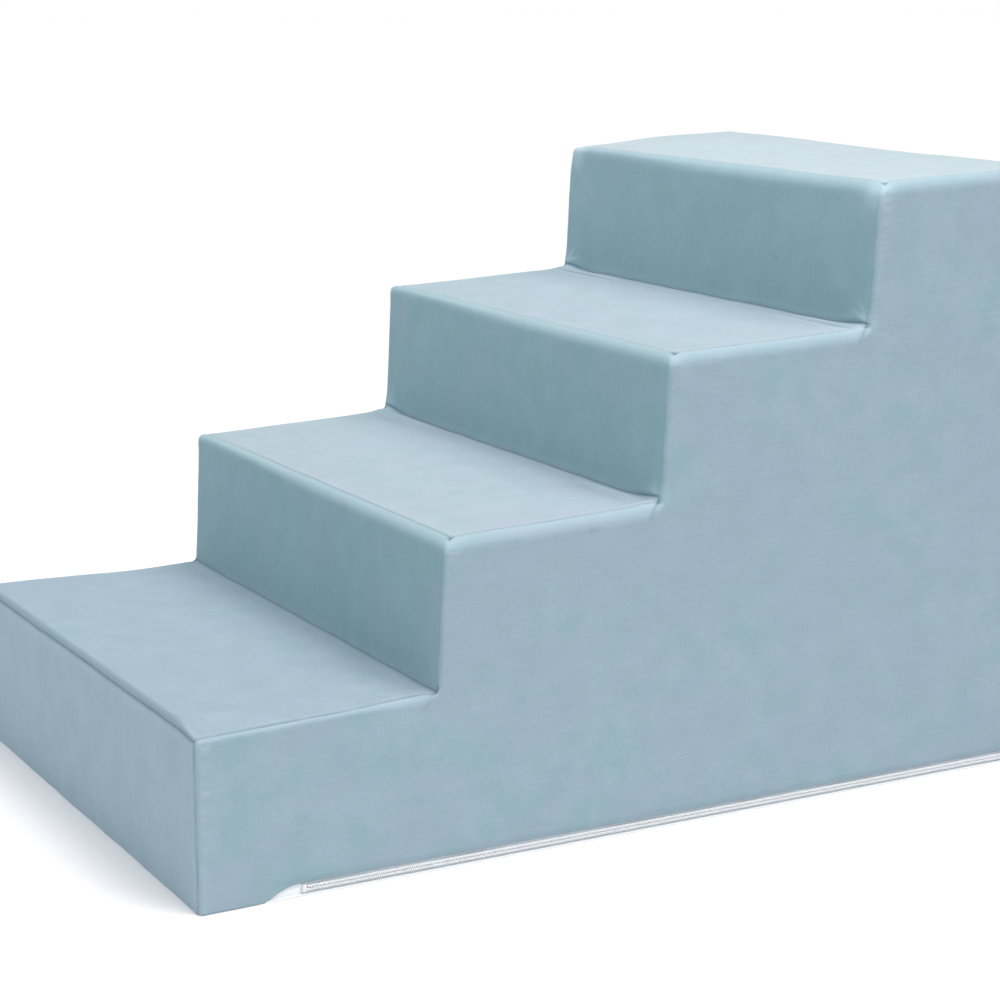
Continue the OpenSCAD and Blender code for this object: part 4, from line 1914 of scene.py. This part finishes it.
@dataclass
class FoamBlock:
    """Foam slabs inside the cover, one for each step.

    The foam rolls tighter than the cover, and the top one's back edge starts to round further down.
    """

    outline: Outline
    material: Material
    depth: float = 2.6 * MM
    back_roll: float = 7 * MM
    base_gap: float = 0.3 * MM
    roll_loss: float = 1.5 * MM
    least_roll: float = 1.0 * MM
    top_drop: float = 9 * MM
    turns: int = 5
    front_points: int = 70
    names: tuple[str, ...] = ("base", "second", "third", "top")

    def build(self) -> list[Object]:
        """Builds the slabs."""
        return [self._slab(k, word) for k, word in enumerate(self.names, 1)]

    def _section(self, k: int) -> tuple[Array, float, float]:
        """Places on the outline round slab k, with the heights of its lower and upper face.

        Args:
            k: Number of the step.

        Returns:
            The places, the lower height and the upper height.
        """
        sizes, line = self.outline.sizes, self.outline
        first, last = k == 1, k == sizes.steps
        low = sizes.base + self.base_gap if first else sizes.tread_z(k - 1) - self.depth
        top = sizes.tread_z(k) - self.depth
        begin = low if first else line.foot_middle(k)
        end = line.back_top() if last else line.foot_middle(k + 1)
        rear = line.total - np.array([top - self.top_drop if last else top, low])
        return np.concatenate([np.linspace(begin, end, self.front_points), rear]), low, top

    def _ring(self, s: Array, low: float, top: float, turn: float) -> Array:
        """Points of a section where the side's edge has rolled by an angle.

        Args:
            s: Places on the outline.
            low: Height of the slab's lower face.
            top: Height of its upper face.
            turn: The angle.

        Returns:
            X on the right side, Y and Z of each point.
        """
        roll = np.maximum(self.outline.roll(s) - self.roll_loss, self.least_roll)
        roll[s > self.outline.back_corner[1]] = self.back_roll
        places, _ = self.outline.at(s, self.depth + roll * (1 - math.sin(turn)))
        places[:, 1] = np.clip(places[:, 1], low, top)
        places[-1, 1] = places[0, 1] = low
        inside = self.outline.sizes.half - self.depth - roll * (1 - math.cos(turn))
        return np.column_stack([inside, places])

    def _slab(self, k: int, word: str) -> Object:
        """Slab under the tread of step k.

        Args:
            k: Number of the step.
            word: Word for the slab.

        Returns:
            The slab.
        """
        s, low, top = self._section(k)
        turns = np.linspace(0.0, math.pi / 2, self.turns)
        rings = [self._ring(s, low, top, t) * (-1, 1, 1) for t in turns]
        rings += [self._ring(s, low, top, t) for t in turns[::-1]]
        bm = bmesh.new()
        order = bm.verts.layers.int.new("order")
        corners = [bm.verts.new(p) for p in rings[0]]
        for i, v in enumerate(corners):
            v[order] = i
        face = bm.faces.new(corners)
        for ring in rings[1:]:
            swept = bmesh.ops.extrude_face_region(bm, geom=[face])["geom"]
            face = next(g for g in swept if isinstance(g, bmesh.types.BMFace))
            for v in face.verts:
                v.co = ring[v[order]]
        bmesh.ops.remove_doubles(bm, verts=bm.verts, dist=SAME_PLACE)
        bmesh.ops.recalc_face_normals(bm, faces=bm.faces)
        slab = to_object(bm, f"foam_{word}")
        slab.data.set_sharp_from_angle(angle=SHARP_ANGLE)
        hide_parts(f"foam_{word}_slab")
        return dress(slab, self.material)


@dataclass
class Underside:
    """Base cloth with its hem and grip dots."""

    cloth: Material
    rubber: Material
    hem_edge: float = 0.15 * MM
    dot_edge: float = 0.2 * MM

    def build(self) -> list[Object]:
        """Builds the cloth and the dots.

        Returns:
            The pieces.
        """
        cloth = dress(softened("base_panel", "base_cloth", self.hem_edge), self.cloth)
        dots = dress(softened("grip_dots", "grip_domes", self.dot_edge), self.rubber)
        return [cloth, dots]


@dataclass
class Zip:
    """Zip round the base: tapes, coils, stops, slider and pull.

    The coil's halves are split along the slider's way. Beyond it they meet, and there their loops
    are deeper and lie further in. The wire is wider along the chain, by the factor spread.
    """

    sizes: StairSizes
    tape: Material
    nylon: Material
    enamel: Material
    pitch: float = 1.27 * MM
    wire: float = 0.62 * MM
    spread: float = 1.95
    loop_depth: float = 1.8 * MM
    wire_sides: int = 5
    loop_turns: int = 8
    split: float = 0.5 * MM
    meeting: float = 0.1 * MM
    joined_depth: float = 1.25
    joined_inset: float = 0.25 * MM
    corner_r: float = 8 * MM
    end_gap: float = 0.3 * MM
    tape_edge: float = 0.12 * MM
    stop_edge: float = 0.15 * MM
    metal_edge: float = 0.18 * MM

    def build(self) -> list[Object]:
        """Builds all pieces of the zip.

        Returns:
            The pieces.
        """
        made = []
        for level in ("upper", "lower"):
            tape = softened(f"zipper_tape_{level}", f"zip_tape_{level}", self.tape_edge)
            if level == "lower":
                self._close_ends(tape)
            made.append(dress(tape, self.tape))
            made.append(dress(self._coil(level), self.nylon))
        for node, name in (("zipper_top_stops", "zip_top_stops"), ("zipper_bottom_stop", "zip_bottom_stop")):
            made.append(dress(softened(node, name, self.stop_edge), self.enamel))
        slider = softened("zipper_slider", "zip_slider", self.metal_edge)
        made.append(dress(slider, self.enamel, "slider"))
        pull = softened("zipper_pull", "zip_pull_tab", self.metal_edge)
        made.append(dress(pull, self.enamel, "pull"))
        return made

    @staticmethod
    def _close_ends(tape: Object) -> None:
        """Raises the lower tape's edge to the upper tape in front of the chain.

        Args:
            tape: The lower tape.
        """
        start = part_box("zipper_coil_upper")[0].y
        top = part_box("zipper_tape_lower")[1].z
        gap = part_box("zipper_tape_upper")[0].z - top
        bm = bmesh.new()
        bm.from_mesh(tape.data)
        for ahead in (1 * MM, 2 * MM):
            cut = [*bm.verts, *bm.edges, *bm.faces]
            bmesh.ops.bisect_plane(bm, geom=cut, plane_co=(0, start - ahead, 0), plane_no=(0, 1, 0))
        for v in bm.verts:
            if v.co.y < start - 1.5 * MM and v.co.z > top - 0.3 * MM:
                v.co.z += gap + 0.05 * MM
        bm.to_mesh(tape.data)
        bm.free()

    def _loop(self, height: float) -> Mesh:
        """One loop of the coil, an oval ring of wire.

        Args:
            height: Height of the loop.

        Returns:
            The mesh.
        """
        bm = bmesh.new()
        bmesh.ops.create_circle(bm, segments=self.wire_sides, radius=self.wire / 2)
        bmesh.ops.rotate(bm, verts=bm.verts, cent=(0, 0, 0), matrix=Matrix.Rotation(math.pi / 2, 3, "X"))
        bmesh.ops.translate(bm, verts=bm.verts, vec=(0.5, 0.0, 0.0))
        bmesh.ops.spin(
            bm, geom=[*bm.verts, *bm.edges], cent=(0, 0, 0), axis=(0, 0, 1), angle=2 * math.pi,
            steps=self.loop_turns, use_merge=True
        )
        bmesh.ops.remove_doubles(bm, verts=bm.verts, dist=SAME_PLACE)
        for v in bm.verts:
            radius = math.hypot(v.co.x, v.co.y)
            c, s = v.co.x / radius, v.co.y / radius
            off = radius - 0.5 - self.wire / 2
            v.co = (c * (self.loop_depth / 2 + off), v.co.z * self.spread, s * (height / 2 + off))
        bmesh.ops.recalc_face_normals(bm, faces=bm.faces)
        mesh = bpy.data.meshes.new("coil_loop")
        bm.to_mesh(mesh)
        bm.free()
        return mesh

    def _coil(self, level: str) -> Object:
        """Half of the coil as a row of loops along the U-shaped path.

        Along the slider's way the two halves leave room for its wedge, and beyond it they meet.

        Args:
            level: Upper or lower.

        Returns:
            The coil.
        """
        low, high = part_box(f"zipper_coil_{level}")
        middle = (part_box("zipper_coil_upper")[0].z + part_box("zipper_coil_lower")[1].z) / 2
        way, outer = (1, high.z) if level == "upper" else (-1, low.z)
        tall = abs(outer - middle) - self.split / 2
        joined_tall = abs(outer - middle) + self.meeting
        loop = self._loop(tall)
        path = self._path(self.sizes.half - high.x + self.loop_depth / 2, low.y, level == "lower")
        turns = []
        for (x, y), turn in path:
            if x > -self.sizes.half + self.corner_r:
                own = Matrix.Translation((self.joined_inset, 0.0, 0.0))
                own @= Matrix.Diagonal((self.joined_depth, 1.0, joined_tall / tall, 1.0))
                z = outer - way * joined_tall / 2
            else:
                own, z = Matrix(), outer - way * tall / 2
            turns.append(Matrix.Translation((x, y, z)) @ Matrix.Rotation(turn, 4, "Z") @ own)
        bm = bmesh.new()
        for _ in turns:
            bm.from_mesh(loop)
        for i, v in enumerate(bm.verts):
            v.co = turns[i // len(loop.vertices)] @ v.co
        bpy.data.meshes.remove(loop)
        coil = to_object(bm, f"zip_coil_{level}")
        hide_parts(f"zipper_coil_{level}")
        return coil

    def _path(self, depth: float, start: float, half_step: bool) -> list[tuple[tuple[float, float], float]]:
        """Places and turns of the loops from the left side round the back to the right side.

        Args:
            depth: How far the loops' middle lies inside the cover.
            start: Y of the path's start.
            half_step: Whether the loops lie between those of the other half.

        Returns:
            X, Y and turn of each loop.
        """
        r = self.corner_r - depth
        x, y = self.sizes.half - self.corner_r, self.sizes.back - self.corner_r
        side, rear, quarter = y - start, 2 * x, r * math.pi / 2
        ends = np.cumsum([side, quarter, rear, quarter, side])
        phase = 0.75 if half_step else 0.25
        found = []
        for i in range(int(ends[-1] / self.pitch)):
            d = (i + phase) * self.pitch + self.end_gap
            if d < ends[0]:
                found.append(((-x - r, start + d), math.pi))
            elif d < ends[1]:
                a = math.pi - (d - ends[0]) / r
                found.append(((-x + r * math.cos(a), y + r * math.sin(a)), a))
            elif d < ends[2]:
                found.append(((-x + d - ends[1], y + r), math.pi / 2))
            elif d < ends[3]:
                a = math.pi / 2 - (d - ends[2]) / r
                found.append(((x + r * math.cos(a), y + r * math.sin(a)), a))
            elif d <= ends[4] - self.end_gap:
                found.append(((x + r, y - (d - ends[3])), 0.0))
        return found


# Studio


@dataclass(frozen=True)
class Studio:
    """Camera, light and floor that match the photograph.

    Angles are in degrees, and the lens and the sensor in millimetres. A light's softness is the
    angle over which it is spread. The camera sees the floor in another colour than its bounce.
    """

    camera_at: Triple = (1.3991, -0.7797, 0.5166)
    azimuth: float = 61.11
    elevation: float = 12.10
    roll: float = 0.17
    lens: float = 87.44
    sensor: float = 36.0
    sky: float = 0.36
    sky_colour: Colour = (0.91, 0.97, 1.0)
    key_strength: float = 1.85
    key_from: Triple = (0.5, 0.28, 0.82)
    key_softness: float = 36.0
    key_colour: Colour = (1.0, 0.94, 0.865)
    fill_strength: float = 1.15
    fill_from: Triple = (0.12, -0.6, 0.79)
    fill_softness: float = 85.0
    fill_colour: Colour = (0.92, 0.975, 1.0)
    top_power: float = 4.6
    top_at: Triple = (0.15, 0.08, 1.35)
    top_size: float = 0.6
    floor_seen: Colour = (0.93, 0.905, 0.915)
    floor_glow: float = 0.03
    floor_bounce: Colour = (0.8, 0.8, 0.8)
    floor_size: float = 30.0

    def build(self) -> None:
        """Sets up the camera, the lights, the floor and the background."""
        self._camera()
        self._sun("key", self.key_strength, self.key_from, self.key_softness, self.key_colour)
        self._sun("fill", self.fill_strength, self.fill_from, self.fill_softness, self.fill_colour)
        self._lamp()
        self._world()
        self._floor()

    def _camera(self) -> None:
        """Camera at the photograph's angle of view."""
        az, el, roll = (math.radians(a) for a in (self.azimuth, self.elevation, self.roll))
        back = Vector((math.sin(az) * math.cos(el), -math.cos(az) * math.cos(el), math.sin(el)))
        right = (-back).cross(Vector((0, 0, 1))).normalized()
        up = right.cross(-back)
        tilted = right * math.cos(roll) + up * math.sin(roll)
        up = tilted.cross(-back)
        data = bpy.data.cameras.new("photo_camera")
        data.lens = self.lens
        data.sensor_width = self.sensor
        data.clip_start = 10 * MM
        camera = bpy.data.objects.new("photo_camera", data)
        basis = Matrix((tilted, up, back)).transposed()
        camera.matrix_world = Matrix.Translation(self.camera_at) @ basis.to_4x4()
        bpy.context.scene.collection.objects.link(camera)
        bpy.context.scene.camera = camera
        bpy.context.scene.view_settings.view_transform = "Standard"

    @staticmethod
    def _light(name: str, kind: str, energy: float) -> Object:
        """Puts a light into the scene.

        Args:
            name: Name of the light.
            kind: Blender's word for its kind.
            energy: Its strength.

        Returns:
            The light.
        """
        data = bpy.data.lights.new(name, kind)
        data.energy = energy
        light = bpy.data.objects.new(name, data)
        bpy.context.scene.collection.objects.link(light)
        return light

    def _sun(self, name: str, strength: float, source: Triple, softness: float, colour: Colour) -> None:
        """Broad soft light from one direction.

        Args:
            name: Name of the light.
            strength: Its strength.
            source: Direction from which it comes.
            softness: Angle in degrees over which it is spread.
            colour: Its colour.
        """
        light = self._light(name, "SUN", strength)
        light.data.angle = math.radians(softness)
        light.data.color = colour
        light.rotation_euler = Vector(source).to_track_quat("Z", "Y").to_euler()

    def _lamp(self) -> None:
        """Lamp over the steps, which points straight down."""
        lamp = self._light("top", "AREA", self.top_power)
        lamp.data.shape = "DISK"
        lamp.data.size = self.top_size
        lamp.location = self.top_at

    def _world(self) -> None:
        """White background for the camera and soft light from all around."""
        world = bpy.data.worlds.new("studio")
        world.use_nodes = True
        bpy.context.scene.world = world
        shader = Shader(world.node_tree)
        light = next(n for n in world.node_tree.nodes if n.type == "BACKGROUND")
        ray = shader.node("ShaderNodeLightPath")
        seen = shader.math("MAXIMUM", ray.outputs["Is Camera Ray"], ray.outputs["Is Transmission Ray"])
        shader.put(light.inputs["Color"], shader.mix(seen, self.sky_colour, (1.0, 1.0, 1.0)))
        strength = shader.math("ADD", shader.math("MULTIPLY", seen, 1.0 - self.sky), self.sky)
        shader.put(light.inputs["Strength"], strength)

    def _floor(self) -> None:
        """Pale floor that keeps the shadow."""
        bm = bmesh.new()
        bmesh.ops.create_grid(bm, x_segments=1, y_segments=1, size=self.floor_size)
        floor = to_object(bm, "floor", smooth_shade=False)
        material = bpy.data.materials.new("floor_white")
        material.use_nodes = True
        shader = Shader(material.node_tree)
        surface = next(n for n in material.node_tree.nodes if n.type == "BSDF_PRINCIPLED")
        surface.inputs["Roughness"].default_value = 1.0
        surface.inputs["Specular IOR Level"].default_value = 0.0
        ray = shader.node("ShaderNodeLightPath").outputs["Is Camera Ray"]
        shader.put(surface.inputs["Base Color"], shader.mix(ray, self.floor_bounce, self.floor_seen))
        surface.inputs["Emission Color"].default_value = (1.0, 1.0, 1.0, 1.0)
        shader.put(surface.inputs["Emission Strength"], shader.math("MULTIPLY", ray, self.floor_glow))
        floor.data.materials.append(material)


def main() -> None:
    """Builds every piece and the studio, and logs the number of faces of each piece."""
    logging.basicConfig(level=logging.INFO, format="%(relativeCreated)6d ms %(name)s: %(message)s")
    sizes = StairSizes.from_frame()
    outline = Outline(sizes)
    seams = Seams(outline)
    drape = CoverDrape(seams)
    nap, fold, weave, wear = nap_group(), fold_group(), weave_group(), wear_group()
    piles = {kind: kind.value.build(nap, fold) for kind in Kind}
    foam = Foam("foam_cream", (0.93, 0.9, 0.78), 0.95).build()
    cloth = Woven("base_white_cloth", (0.9, 0.93, 0.98), 0.9, pitch=260.0).build(weave)
    tape = Woven("zip_tape_white", (0.92, 0.95, 1.0), 0.85, pitch=520.0, depth=0.06 * MM).build(weave)
    nylon = Worn("zip_nylon", (0.92, 0.95, 1.0), 0.35, amount=0.1).build(wear)
    enamel = Worn("zip_enamel", (0.86, 0.86, 0.89), 0.3, amount=0.5, coat=0.2).build(wear)
    rubber = Worn("grip_rubber", (0.85, 0.85, 0.87), 0.75, amount=0.2).build(wear)
    pieces = Cover(seams, drape, piles).build()
    pieces += FoamBlock(outline, foam).build()
    pieces += Underside(cloth, rubber).build()
    pieces += Zip(sizes, tape, nylon, enamel).build()
    for piece in pieces:
        log.info("%s: %d faces", piece.name, len(piece.data.polygons))
    Studio().build()


if __name__ == "__main__":
    main()
